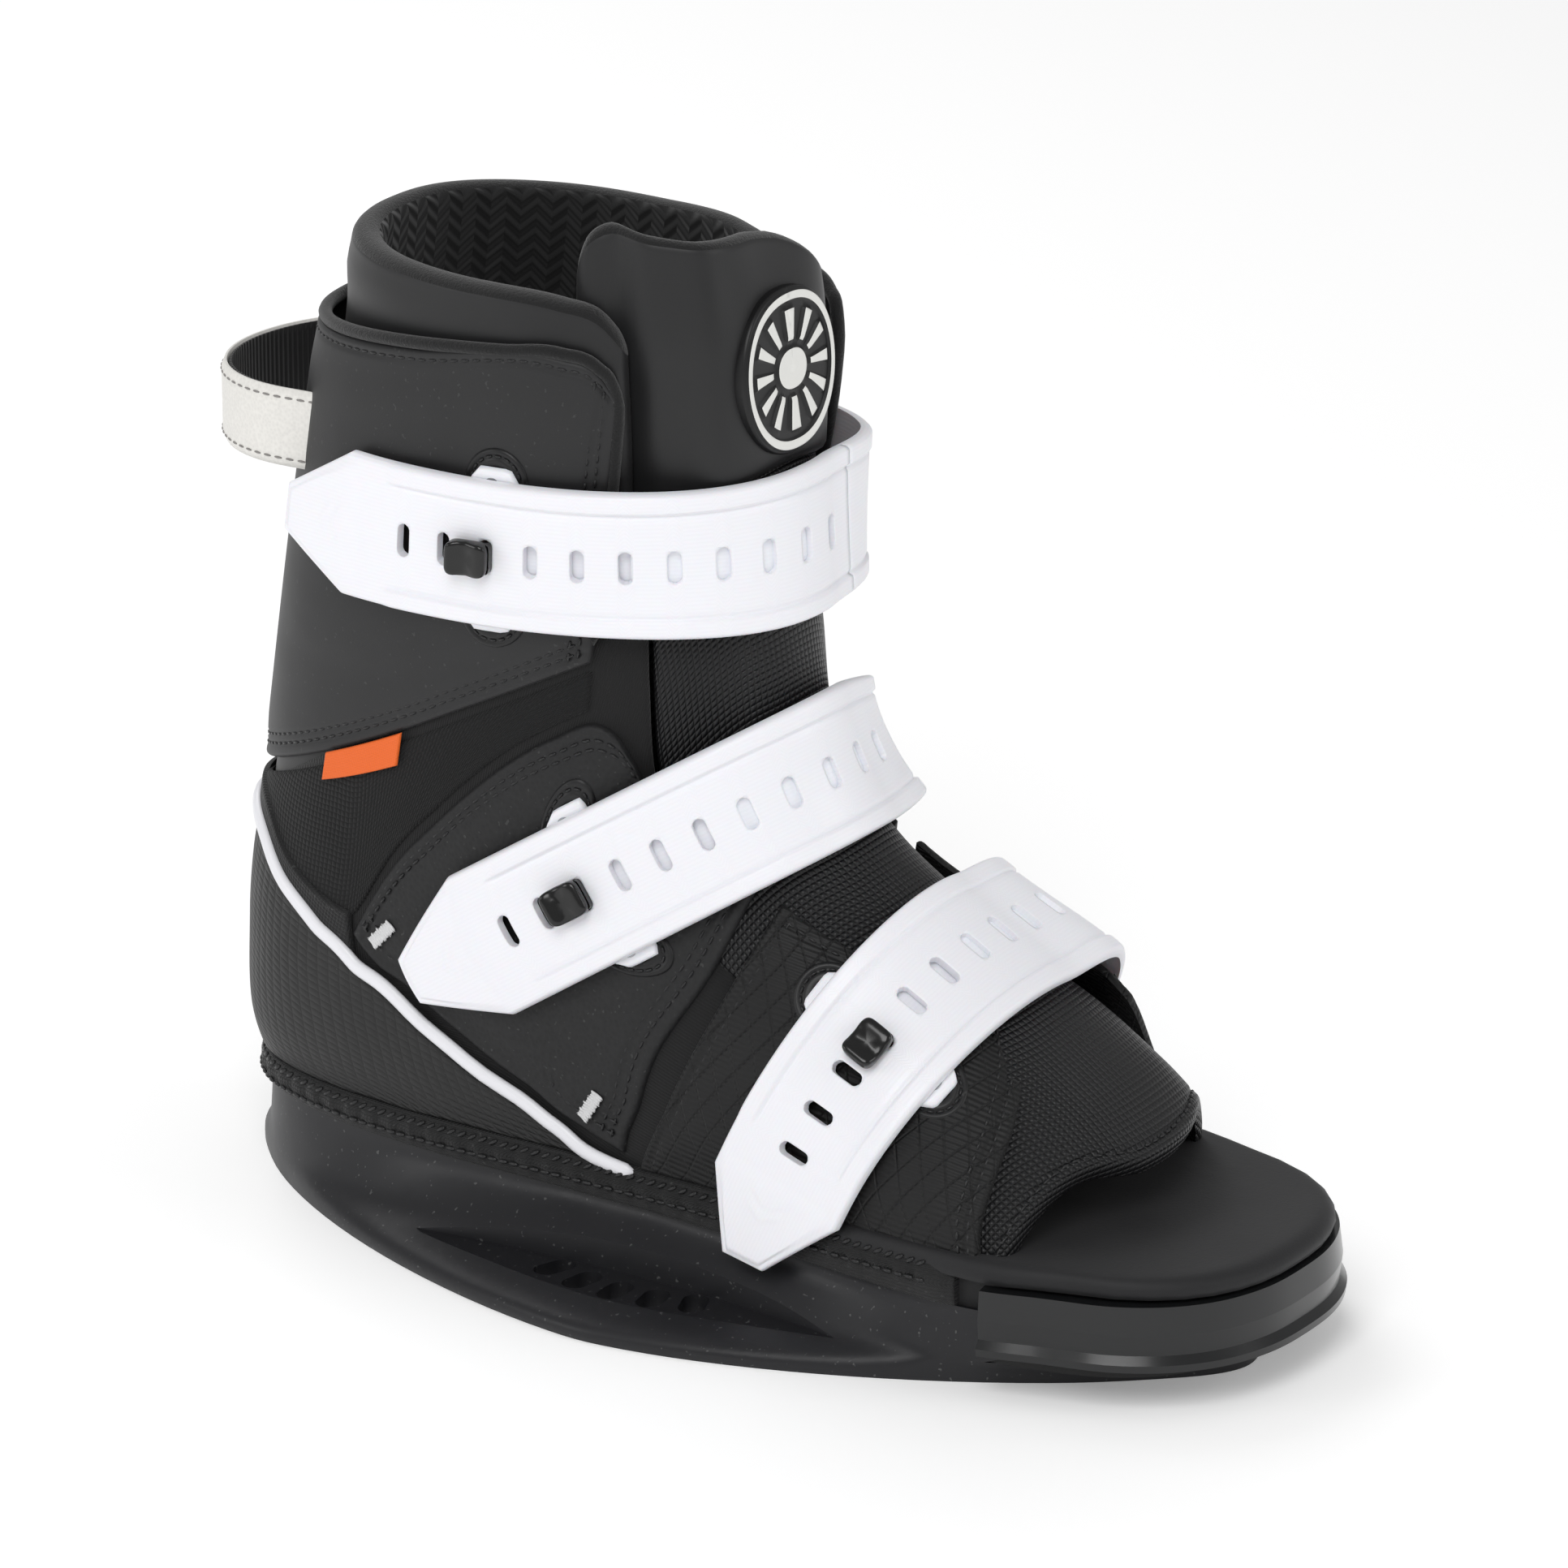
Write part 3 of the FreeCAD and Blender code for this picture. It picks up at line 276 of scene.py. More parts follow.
# ---- meshes ----------------------------------------------------------------------------------
@dataclass
class Piece:
    """A mesh in the making: vertices in millimetres, faces, a UV in millimetres and finishes."""

    vertices: Array
    faces: list[list[int]]
    uv: Array
    flat: Array
    slots: Array

    def joined(self, other: "Piece") -> "Piece":
        """This piece and another as one."""
        step = len(self.vertices)
        moved = [[k + step for k in f] for f in other.faces]
        return Piece(np.concatenate([self.vertices, other.vertices]), self.faces + moved,
                     np.concatenate([self.uv, other.uv]), np.concatenate([self.flat, other.flat]),
                     np.concatenate([self.slots, other.slots]))

    def put(self, name: str, finishes: Sequence["Finish"], slot: str, weld: bool = False
            ) -> bpy.types.Object:
        """Makes the object at the origin.

        Args:
            name: Name of the piece.
            finishes: One for each face slot number.
            slot: The record's material slot; not used.
            weld: Joins vertices that coincide.

        Returns:
            The new object.
        """
        mesh = bpy.data.meshes.new(name)
        mesh.from_pydata((self.vertices * MM).tolist(), [], self.faces)
        mesh.polygons.foreach_set("use_smooth", ~self.flat)
        mesh.polygons.foreach_set("material_index", self.slots.astype(np.int32))
        corners = np.zeros(len(mesh.loops), np.int32)
        mesh.loops.foreach_get("vertex_index", corners)
        layer = mesh.uv_layers.new(name="cloth")
        layer.data.foreach_set("uv", self.uv[corners].astype(np.float32).ravel())
        for finish in finishes:
            mesh.materials.append(finish.material())
        if weld:
            work = bmesh.new()
            work.from_mesh(mesh)
            bmesh.ops.remove_doubles(work, verts=work.verts, dist=2e-6)
            bmesh.ops.dissolve_degenerate(work, edges=work.edges, dist=1e-7)
            work.to_mesh(mesh)
            work.free()
        mesh.validate()
        mesh.update()
        piece = bpy.data.objects.new(name, mesh)
        bpy.context.scene.collection.objects.link(piece)
        LOG.info("%s: %d faces", name, len(mesh.polygons))
        return piece


def merged(parts: Sequence[Piece]) -> Piece:
    """All the parts as one piece, in their order."""
    whole = parts[0]
    for part in parts[1:]:
        whole = whole.joined(part)
    return whole


def lengths(grid: Array) -> Array:
    """UV of a grid in millimetres: lengths run along rows and along columns from their middles."""
    du = np.linalg.norm(np.diff(grid, axis=0), axis=2)
    dv = np.linalg.norm(np.diff(grid, axis=1), axis=2)
    u = np.concatenate([np.zeros((1, grid.shape[1])), np.cumsum(du, 0)])
    v = np.concatenate([np.zeros((grid.shape[0], 1)), np.cumsum(dv, 1)], axis=1)
    return np.stack([u - u[grid.shape[0] // 2], v - v[:, grid.shape[1] // 2][:, None]], axis=-1)


def surface(grid: Array, slot: int = 0) -> Piece:
    """Single sheet of quads over a grid of points."""
    n, m = grid.shape[:2]
    index = np.arange(n * m).reshape(n, m)
    quads = np.stack([index[:-1, :-1], index[1:, :-1], index[1:, 1:], index[:-1, 1:]], -1)
    faces = quads.reshape(-1, 4)
    return Piece(grid.reshape(-1, 3), faces.tolist(), lengths(grid).reshape(-1, 2),
                 np.zeros(len(faces), bool), np.full(len(faces), slot))


def shell(top: Array, under: Array, keep: Array | None = None, slots: tuple[int, int] = (0, 0)
          ) -> Piece:
    """Closed slab between two grids, with walls round its rim and round every missing cell.

    Args:
        top: Outer grid of points.
        under: Inner grid of the same shape.
        keep: Which cells exist. All of them if it isn't given.
        slots: Finish numbers of the outer face and of the rest.

    Returns:
        The piece, with faces pointing away from the space between the grids.
    """
    n, m = top.shape[:2]
    keep = np.ones((n - 1, m - 1), bool) if keep is None else keep
    index = np.arange(n * m).reshape(n, m)
    a, b, c, d = index[:-1, :-1], index[1:, :-1], index[1:, 1:], index[:-1, 1:]
    over = np.stack([a, b, c, d], -1)[keep]
    size = n * m
    beneath = over[:, ::-1] + size
    hem = np.pad(keep, 1)
    walls = []
    for p, q, neighbour in ((a, b, hem[1:-1, :-2]), (b, c, hem[2:, 1:-1]),
                            (c, d, hem[1:-1, 2:]), (d, a, hem[:-2, 1:-1])):
        rim = keep & ~neighbour
        walls.append(np.stack([q[rim], p[rim], p[rim] + size, q[rim] + size], -1))
    wall = np.concatenate(walls)
    faces = np.concatenate([over, beneath, wall])
    points = np.concatenate([top.reshape(-1, 3), under.reshape(-1, 3)])
    face_out = np.cross(points[over[:, 1]] - points[over[:, 0]],
                        points[over[:, 3]] - points[over[:, 0]])
    if np.sum(face_out * (points[over[:, 0]] - points[over[:, 0] + size])) < 0:
        faces = faces[:, ::-1]
    used = np.unique(faces)
    fresh = np.zeros(2 * size, int)
    fresh[used] = np.arange(len(used))
    uv = np.tile(lengths(top).reshape(-1, 2), (2, 1))
    flat = np.concatenate([np.zeros(2 * len(over), bool), np.ones(len(wall), bool)])
    number = np.concatenate([np.full(len(over), slots[0]),
                             np.full(len(over) + len(wall), slots[1])])
    return Piece(points[used], fresh[faces].tolist(), uv[used], flat, number)


def sweep(line: Array, out: Array, profile: Array, rounded: float = 0.0) -> Piece:
    """Closed profile carried along a line.

    Args:
        line: Points along the line.
        out: Outward direction at each point.
        profile: Closed list of (across, outward) offsets, first point not repeated.
        rounded: Length over which both ends draw in to a point, as the quarter of a circle.

    Returns:
        A tube whose ends are closed.
    """
    along = unit(np.gradient(line, axis=0))
    out = unit(out - along * np.sum(out * along, axis=1, keepdims=True))
    across = np.cross(out, along)
    run = np.concatenate([[0], np.cumsum(np.linalg.norm(np.diff(line, axis=0), axis=1))])
    near = np.minimum(run, run[-1] - run)
    grow = np.sqrt(1 - (1 - np.clip(near / max(rounded, 1e-6), 0, 1)) ** 2)[:, None, None]
    ring = np.concatenate([profile, profile[:1]])
    grid = line[:, None] + grow * (across[:, None] * ring[None, :, :1]
                                   + out[:, None] * ring[None, :, 1:])
    piece = surface(grid)
    middle = len(line) // 2
    area = np.cross(grid[middle + 1, :-1] - grid[middle, :-1],
                    grid[middle, 1:] - grid[middle, :-1])
    if np.sum(area * (grid[middle, :-1] - line[middle])) < 0:
        piece.faces = [f[::-1] for f in piece.faces]
    return piece


def ellipse(width: float, height: float, count: int = 10, lift: float = 0.0) -> Array:
    """Closed profile: an ellipse of that width and height about (0, lift)."""
    turn = 2 * math.pi * np.arange(count) / count
    return np.stack([width / 2 * np.cos(turn), lift + height / 2 * np.sin(turn)], axis=-1)


def even(line: Array, pitch: float) -> tuple[Array, Array]:
    """Stations at an even pitch along a line.

    Args:
        line: Points, close together.
        pitch: Wanted distance between stations.

    Returns:
        The stations as fractions of the line's row numbers, and the true pitch.
    """
    run = np.concatenate([[0], np.cumsum(np.linalg.norm(np.diff(line, axis=0), axis=1))])
    count = max(int(round(run[-1] / pitch)), 1)
    middles = (np.arange(count) + 0.5) * run[-1] / count
    return np.interp(middles, run, np.arange(len(line))), np.array(run[-1] / count)


def pick(rows: Array, stations: Array) -> Array:
    """Rows of an array at fractional row numbers, by straight interpolation."""
    low = np.clip(np.floor(stations).astype(int), 0, len(rows) - 2)
    part = (stations - low)[:, None]
    return rows[low] * (1 - part) + rows[low + 1] * part


def stitches(line: Array, out: Array, pitch: float = 3.4, size: tuple[float, float, float]
             = (2.5, 0.85, 0.8), turn: float = 0.0) -> Piece:
    """Row of sewn stitches: one low-sided ellipsoid for each, half sunk in the cloth.

    Args:
        line: Points along the seam.
        out: Outward direction at each.
        pitch: Distance between stitches.
        size: Length, width and height of a stitch.
        turn: Slant of each stitch from the seam, in radians.

    Returns:
        All the stitches as one piece.
    """
    stations, _ = even(line, pitch)
    centre, normal = pick(line, stations), unit(pick(out, stations))
    along = unit(pick(np.gradient(line, axis=0), stations))
    side = np.cross(normal, along)
    along, side = (along * math.cos(turn) + side * math.sin(turn),
                   side * math.cos(turn) - along * math.sin(turn))
    alpha = math.pi * np.arange(1, 4) / 4
    beta = 2 * math.pi * np.arange(6) / 6
    ca, sa = np.meshgrid(np.cos(alpha), np.ones(6), indexing="ij")[0], np.sin(alpha)[:, None]
    body = np.stack([ca * size[0] / 2, sa * np.cos(beta) * size[1] / 2,
                     sa * np.sin(beta) * size[2] / 2], -1).reshape(-1, 3)
    local = np.concatenate([[[size[0] / 2, 0, 0]], body, [[-size[0] / 2, 0, 0]]])
    points = (centre[:, None] + local[None, :, :1] * along[:, None]
              + local[None, :, 1:2] * side[:, None] + local[None, :, 2:] * normal[:, None])
    near = np.arange(6)
    ahead = (near + 1) % 6
    fan = [[0, 1 + k, 1 + ahead[k]] for k in near] + [[19, 13 + ahead[k], 13 + k] for k in near]
    rings = [[1 + r + k, 7 + r + k, 7 + r + ahead[k], 1 + r + ahead[k]]
             for r in (0, 6) for k in near]
    one = fan + rings
    count = len(stations)
    faces = [[int(k) + 20 * j for k in f] for j in range(count) for f in one]
    total = count * len(one)
    return Piece(points.reshape(-1, 3), faces, np.zeros((20 * count, 2)),
                 np.zeros(total, bool), np.zeros(total, int))


# ---- finishes --------------------------------------------------------------------------------
def linear(hex_colour: str) -> tuple[float, float, float, float]:
    """sRGB hex to linear colour with alpha 1."""
    parts = [int(hex_colour[k:k + 2], 16) / 255 for k in (1, 3, 5)]
    return (*(p / 12.92 if p <= 0.04045 else ((p + 0.055) / 1.055) ** 2.4 for p in parts), 1.0)


def add_node(tree: bpy.types.NodeTree, kind: str, settings: dict, links: dict
             ) -> bpy.types.Node:
    """Adds a node.

    Args:
        tree: Where it goes.
        kind: The node's type.
        settings: Values for its inputs, by name or number, or for its own properties.
        links: Sockets that feed its inputs.

    Returns:
        The node.
    """
    node = tree.nodes.new(kind)
    for key, value in settings.items():
        if not isinstance(key, int) and key not in node.inputs:
            setattr(node, key, value)
    for key, value in settings.items():
        if isinstance(key, int) or key in node.inputs:
            node.inputs[key].default_value = value
    for key, socket in links.items():
        tree.links.new(socket, node.inputs[key])
    return node


Step = tuple[str, str, dict, dict]


def wire(tree: bpy.types.NodeTree, steps: Sequence[Step]) -> dict[str, bpy.types.Node]:
    """Adds nodes from a table of (name, type, settings, links), where a link is "node" for its
    first output or "node.Output"."""
    made: dict[str, bpy.types.Node] = {}
    for name, kind, settings, links in steps:
        sockets = {}
        for key, source in links.items():
            owner, _, output = source.partition(".")
            sockets[key] = made[owner].outputs[output or 0]
        made[name] = add_node(tree, kind, settings, sockets)
    return made


def wave(name: str, source: str, period: float, kind: str = "SINE") -> list[Step]:
    """Steps for a wave of the given period in millimetres along a coordinate."""
    return [(name + "_turns", "ShaderNodeMath",
             {"operation": "MULTIPLY", 1: 2 * math.pi / period}, {0: source}),
            (name, "ShaderNodeMath", {"operation": kind}, {0: name + "_turns"})]


class Surface(Enum):
    """How a finish's surface was made."""

    MOULDED = "moulded"
    WEAVE = "weave"
    RIPSTOP = "ripstop"
    RIBBED = "ribbed"
    QUILTED = "quilted"
    GRAIN = "grain"
    ZIGZAG = "zigzag"
    FUZZ = "fuzz"
    ROPE = "rope"
    STRAP = "strap"


def height_steps(kind: Surface, pitch: float) -> list[Step]:
    """Steps that end in a node called "height" between about 0 and 1.

    Args:
        kind: Pattern.
        pitch: Its size in millimetres: thread spacing, rib spacing or grain width.
    """
    flat: list[Step] = [("map", "ShaderNodeUVMap", {"uv_map": "cloth"}, {}),
                        ("uv", "ShaderNodeSeparateXYZ", {}, {"Vector": "map.UV"})]
    if kind in (Surface.WEAVE, Surface.RIPSTOP):
        cell = pitch if kind is Surface.WEAVE else pitch * 2.2
        return (flat + wave("warp", "uv.X", 2 * cell) + wave("weft", "uv.Y", 2 * pitch) + [
            ("cross", "ShaderNodeMath", {"operation": "MULTIPLY"}, {0: "warp", 1: "weft"}),
            ("sign", "ShaderNodeMath", {"operation": "MULTIPLY", 1: 2.0}, {0: "cross"}),
            ("crown", "ShaderNodeMath", {"operation": "ABSOLUTE"}, {0: "sign"}),
            ("height", "ShaderNodeMath", {"operation": "POWER", 1: 0.6}, {0: "crown"})])
    if kind is Surface.RIBBED:
        return flat + wave("rib", "uv.X", pitch) + [
            ("height", "ShaderNodeMath", {"operation": "MULTIPLY_ADD", 1: 0.5, 2: 0.5},
             {0: "rib"})]
    if kind is Surface.QUILTED:
        return (flat + wave("rib", "uv.X", pitch) + [
            ("sum", "ShaderNodeMath", {"operation": "MULTIPLY_ADD", 1: 0.55},
             {0: "uv.X", 2: "uv.Y"}),
            ("less", "ShaderNodeMath", {"operation": "MULTIPLY_ADD", 1: -0.55},
             {0: "uv.X", 2: "uv.Y"})] + wave("rise", "sum", 14.0) + wave("fall", "less", 14.0) + [
            ("rise_line", "ShaderNodeMath", {"operation": "ABSOLUTE"}, {0: "rise"}),
            ("fall_line", "ShaderNodeMath", {"operation": "ABSOLUTE"}, {0: "fall"}),
            ("diamond", "ShaderNodeMath", {"operation": "MINIMUM"},
             {0: "rise_line", 1: "fall_line"}),
            ("line", "ShaderNodeMapRange", {"From Max": 0.22, "To Min": -0.9, "To Max": 0.0},
             {"Value": "diamond"}),
            ("height", "ShaderNodeMath", {"operation": "MULTIPLY_ADD", 1: 0.35},
             {0: "rib", 2: "line"})])
    if kind is Surface.ZIGZAG:
        return (flat + [
            ("fold", "ShaderNodeMath", {"operation": "PINGPONG", 1: pitch}, {0: "uv.X"}),
            ("slant", "ShaderNodeMath", {"operation": "MULTIPLY_ADD", 1: 0.9},
             {0: "fold", 2: "uv.Y"})] + wave("row", "slant", pitch) + [
            ("height", "ShaderNodeMath", {"operation": "MULTIPLY_ADD", 1: 0.5, 2: 0.5},
             {0: "row"})])
    if kind is Surface.STRAP:
        return flat + wave("rib", "uv.Y", pitch) + [
            ("height", "ShaderNodeMath", {"operation": "MULTIPLY_ADD", 1: 0.5, 2: 0.5},
             {0: "rib"})]
    if kind is Surface.ROPE:
        return (flat + [("slant", "ShaderNodeMath", {"operation": "MULTIPLY_ADD", 1: 0.8},
                         {0: "uv.Y", 2: "uv.X"})] + wave("ply", "slant", pitch) + [
            ("height", "ShaderNodeMath", {"operation": "MULTIPLY_ADD", 1: 0.5, 2: 0.5},
             {0: "ply"})])
    place: list[Step] = [("place", "ShaderNodeTexCoord", {}, {})]
    if kind is Surface.GRAIN:
        return place + [
            ("cells", "ShaderNodeTexVoronoi", {"feature": "SMOOTH_F1", "Scale": 1 / (pitch * MM),
                                               "Smoothness": 0.6}, {"Vector": "place.Object"}),
            ("height", "ShaderNodeMath", {"operation": "MULTIPLY", 1: 1.2},
             {0: "cells.Distance"})]
    rough = 8.0 if kind is Surface.FUZZ else 3.0
    return place + [("height", "ShaderNodeTexNoise",
                     {"Scale": 1 / (pitch * MM), "Detail": rough, "Roughness": 0.6},
                     {"Vector": "place.Object"})]


@dataclass(frozen=True)
class Finish:
    """A material as a maker would name it.

    kind and pitch give the small pattern, relief its bump depth in millimetres, and shade how
    much darker the pattern's hollows are painted, as painted shade. wear adds slow cloudy changes
    of roughness, and dust a few pale specks."""

    name: str
    colour: str
    roughness: float
    kind: Surface = Surface.MOULDED
    pitch: float = 0.8
    relief: float = 0.05
    shade: float = 0.15
    wear: float = 0.06
    dust: float = 0.0
    ior: float = 1.42
    metallic: float = 0.0
    sheen: float = 0.0
    coat: float = 0.0
    subsurface: float = 0.0

    def material(self) -> bpy.types.Material:
        """The material, made once and then reused."""
        found = bpy.data.materials.get(self.name)
        return found or self.build()

    def colours(self) -> tuple[list[Step], str]:
        """Steps for the base colour and the node that gives it: hollows painted darker than crests, as
        painted shade.
        """
        # Painted shade: the colour is mixed toward a darker copy where the pattern's height is low.
        dark = tuple(c * (1 - self.shade) for c in linear(self.colour)[:3]) + (1.0,)
        steps: list[Step] = [
            ("tint", "ShaderNodeMix", {"data_type": "RGBA", 6: dark, 7: linear(self.colour)},
             {0: "height"})]
        if self.dust <= 0:
            return steps, "tint.Result"
        pale = linear("#b9bab8")
        return steps + [
            ("spot", "ShaderNodeTexCoord", {}, {}),
            ("speck", "ShaderNodeTexNoise", {"Scale": 700.0, "Detail": 1.0},
             {"Vector": "spot.Object"}),
            ("few", "ShaderNodeMapRange", {"From Min": 0.70, "From Max": 0.76,
                                           "To Max": self.dust}, {"Value": "speck.Fac"}),
            ("dusty", "ShaderNodeMix", {"data_type": "RGBA", 7: pale},
             {0: "few", 6: "tint.Result"})], "dusty.Result"

    def build(self) -> bpy.types.Material:
        """Lays out the nodes."""
        material = bpy.data.materials.new(self.name)
        material.use_nodes = True
        tree = material.node_tree
        tree.nodes.clear()
        colour_steps, colour = self.colours()
        half = self.wear / 2
        wire(tree, height_steps(self.kind, self.pitch) + colour_steps + [
            ("cloud_place", "ShaderNodeTexCoord", {}, {}),
            ("cloud", "ShaderNodeTexNoise", {"Scale": 45.0, "Detail": 4.0},
             {"Vector": "cloud_place.Object"}),
            ("matt", "ShaderNodeMapRange", {"From Min": 0.3, "From Max": 0.7,
                                            "To Min": self.roughness - half,
                                            "To Max": self.roughness + half},
             {"Value": "cloud.Fac"}),
            ("bump", "ShaderNodeBump", {"Strength": 1.0, "Distance": self.relief * MM},
             {"Height": "height"}),
            ("shader", "ShaderNodeBsdfPrincipled",
             {"IOR": self.ior, "Metallic": self.metallic, "Sheen Weight": self.sheen,
              "Sheen Roughness": 0.5, "Coat Weight": self.coat, "Coat Roughness": 0.12,
              "Subsurface Weight": self.subsurface, "Subsurface Scale": 0.002},
             {"Base Color": colour, "Roughness": "matt", "Normal": "bump"}),
            ("out", "ShaderNodeOutputMaterial", {}, {"Surface": "shader"})])
        return material


class Finishes:
    """Every finish on the boot."""

    # Glass-filled nylon from a mould with a fine spark grain: dark grey with a soft broad sheen.
    BASE = Finish("glass_filled_nylon_moulded", "#1d1d20", 0.42, pitch=0.5, relief=0.012,
                  wear=0.10, dust=0.12)
    # Polished TPU: black with clear reflections.
    BUMPER = Finish("polished_tpu_moulded", "#171819", 0.24, pitch=2.0, relief=0.006, wear=0.04,
                    coat=0.25)
    # EVA foam, hot moulded: soft black with a fine skin.
    FOOTBED = Finish("eva_foam_moulded", "#19191b", 0.62, pitch=0.9, relief=0.05, sheen=0.08)
    # Polyurethane-coated leather, smooth: very dark grey, matt, with pores of 0.35 mm.
    CUFF = Finish("coated_leather_smooth", "#212122", 0.52, Surface.GRAIN, 0.35, 0.010, 0.08,
                  dust=0.04, sheen=0.03)
    COLLAR = Finish("coated_leather_padded", "#1f1f20", 0.47, Surface.GRAIN, 0.30, 0.008, 0.08,
                    sheen=0.03)
    # Coated leather with a pebble grain of 1.3 mm.
    QUARTER = Finish("pebbled_leather", "#1d1d1e", 0.60, Surface.GRAIN, 1.3, 0.10, 0.35,
                     dust=0.05)
    # Ripstop-embossed synthetic: rows of short raised bars 1.9 mm apart.
    COUNTER = Finish("ripstop_embossed_synthetic", "#1d1d1d", 0.50, Surface.RIPSTOP, 1.9, 0.14,
                     0.25)
    # Spacer mesh with a fine weave, drawn at 1.2 mm so that it shows.
    MESH = Finish("spacer_mesh_knit", "#0a0a0b", 0.80, Surface.WEAVE, 1.5, 0.22, 0.6, sheen=0.04)
    # Ballistic nylon, basket woven at 1.25 mm: black with a glint on each crossing and painted shade in
    # the weave's hollows.
    BALLISTIC = Finish("ballistic_nylon_woven", "#141416", 0.40, Surface.WEAVE, 1.7, 0.30, 0.75)
    # Ribbed nylon, ribs 1.5 mm apart, quilted in faint diamonds.
    FOREFOOT = Finish("ribbed_nylon_quilted", "#121213", 0.58, Surface.QUILTED, 1.6, 0.24, 0.6,
                      sheen=0.05)
    # Folded nylon strip with a fine weave.
    RAND = Finish("nylon_strip_folded", "#0f0f10", 0.64, Surface.WEAVE, 1.1, 0.12, 0.5,
                  dust=0.06, sheen=0.1)
    # Brushed binding tape: fuzzy and deep black.
    BINDING = Finish("brushed_binding_tape", "#101011", 0.85, Surface.FUZZ, 0.7, 0.30, 0.5,
                     sheen=0.25)
    # Zigzag knit lining with rows 4 mm apart.
    LINING = Finish("zigzag_knit_lining", "#0e0e0f", 0.72, Surface.ZIGZAG, 4.0, 0.7, 0.75,
                    sheen=0.2)
    GUSSET = Finish("jersey_gusset_knit", "#0a0a0b", 0.8, Surface.RIBBED, 0.9, 0.08, 0.4,
                    sheen=0.15)
    # White TPU straps with fine cross ribs of 1 mm: satin, slightly translucent.
    STRAP = Finish("white_tpu_moulded", "#f1f1f6", 0.36, Surface.STRAP, 1.1, 0.015, 0.02,
                   wear=0.05, subsurface=0.12)
    PIPING = Finish("white_tpu_extruded", "#ececf0", 0.30, pitch=3.0, relief=0.01, shade=0.04)
    # Bonded polyester thread, three-ply.
    THREAD = Finish("bonded_polyester_thread", "#232324", 0.34, Surface.FUZZ, 0.4, 0.05, 0.3)
    WHITE_THREAD = Finish("white_polyester_thread", "#dededf", 0.5, Surface.FUZZ, 0.4, 0.05, 0.2)
    GREY_THREAD = Finish("grey_polyester_thread", "#8e8b88", 0.5, Surface.FUZZ, 0.4, 0.05, 0.2)
    # Woven satin label.
    TAG = Finish("woven_label_orange", "#ef6a23", 0.55, Surface.WEAVE, 0.5, 0.03, 0.2)
    # Acetal hooks and discs, polished and matt.
    HOOK = Finish("acetal_moulded_polished", "#0f0f0f", 0.22, pitch=2.0, relief=0.006, wear=0.04,
                  coat=0.2)
    DISC = Finish("acetal_moulded_matt", "#181819", 0.42, pitch=0.5, relief=0.01, dust=0.05)
    BADGE_BACK = Finish("black_rubber_moulded", "#141415", 0.42, pitch=0.5, relief=0.01)
    BADGE_FACE = Finish("white_rubber_moulded", "#e6e6e2", 0.45, pitch=0.6, relief=0.01,
                        shade=0.05)
    # White coated leather with a light crackle.
    LOOP = Finish("white_coated_leather", "#e9e7e2", 0.45, Surface.GRAIN, 0.9, 0.05, 0.12)
    WEBBING = Finish("ribbed_webbing_black", "#0d0d0e", 0.75, Surface.RIBBED, 1.6, 0.3, 0.6,
                     sheen=0.15)
    BOARD = Finish("fibre_board_pressed", "#2d2d2d", 0.8, Surface.FUZZ, 1.0, 0.05, 0.3)
    # Zinc-plated steel, tumbled.
    STEEL = Finish("zinc_plated_steel", "#b8b9bd", 0.35, pitch=0.4, relief=0.005, metallic=1.0)


def dress(node: str, finish: Finish) -> None:
    """Gives a carried CAD node its finish."""
    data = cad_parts[node].data
    data.materials.clear()
    data.materials.append(finish.material())


# ---- sewn panels -----------------------------------------------------------------------------
class Side(Enum):
    """A side of a patch."""

    LOW = "low"
    HIGH = "high"
    START = "start"
    END = "end"


def clustered(length: float, count: int, edge: float = 9.0) -> Array:
    """Stations from 0 to 1: close together near both ends, even between.

    Args:
        length: Length in millimetres.
        count: Number of even steps between.
        edge: Width of each dense end.
    """
    steps = np.array([0, .15, .4, .8, 1.3, 2.0, 2.8, 3.5, 4.1, 4.8, 5.5, 6.3, 7.0, 7.9])
    steps = steps[steps < min(edge, length / 2 - 0.5)] / length
    middle = np.linspace(steps[-1], 1 - steps[-1], max(count, 2))[1:-1]
    return np.concatenate([steps, middle, 1 - steps[::-1]])


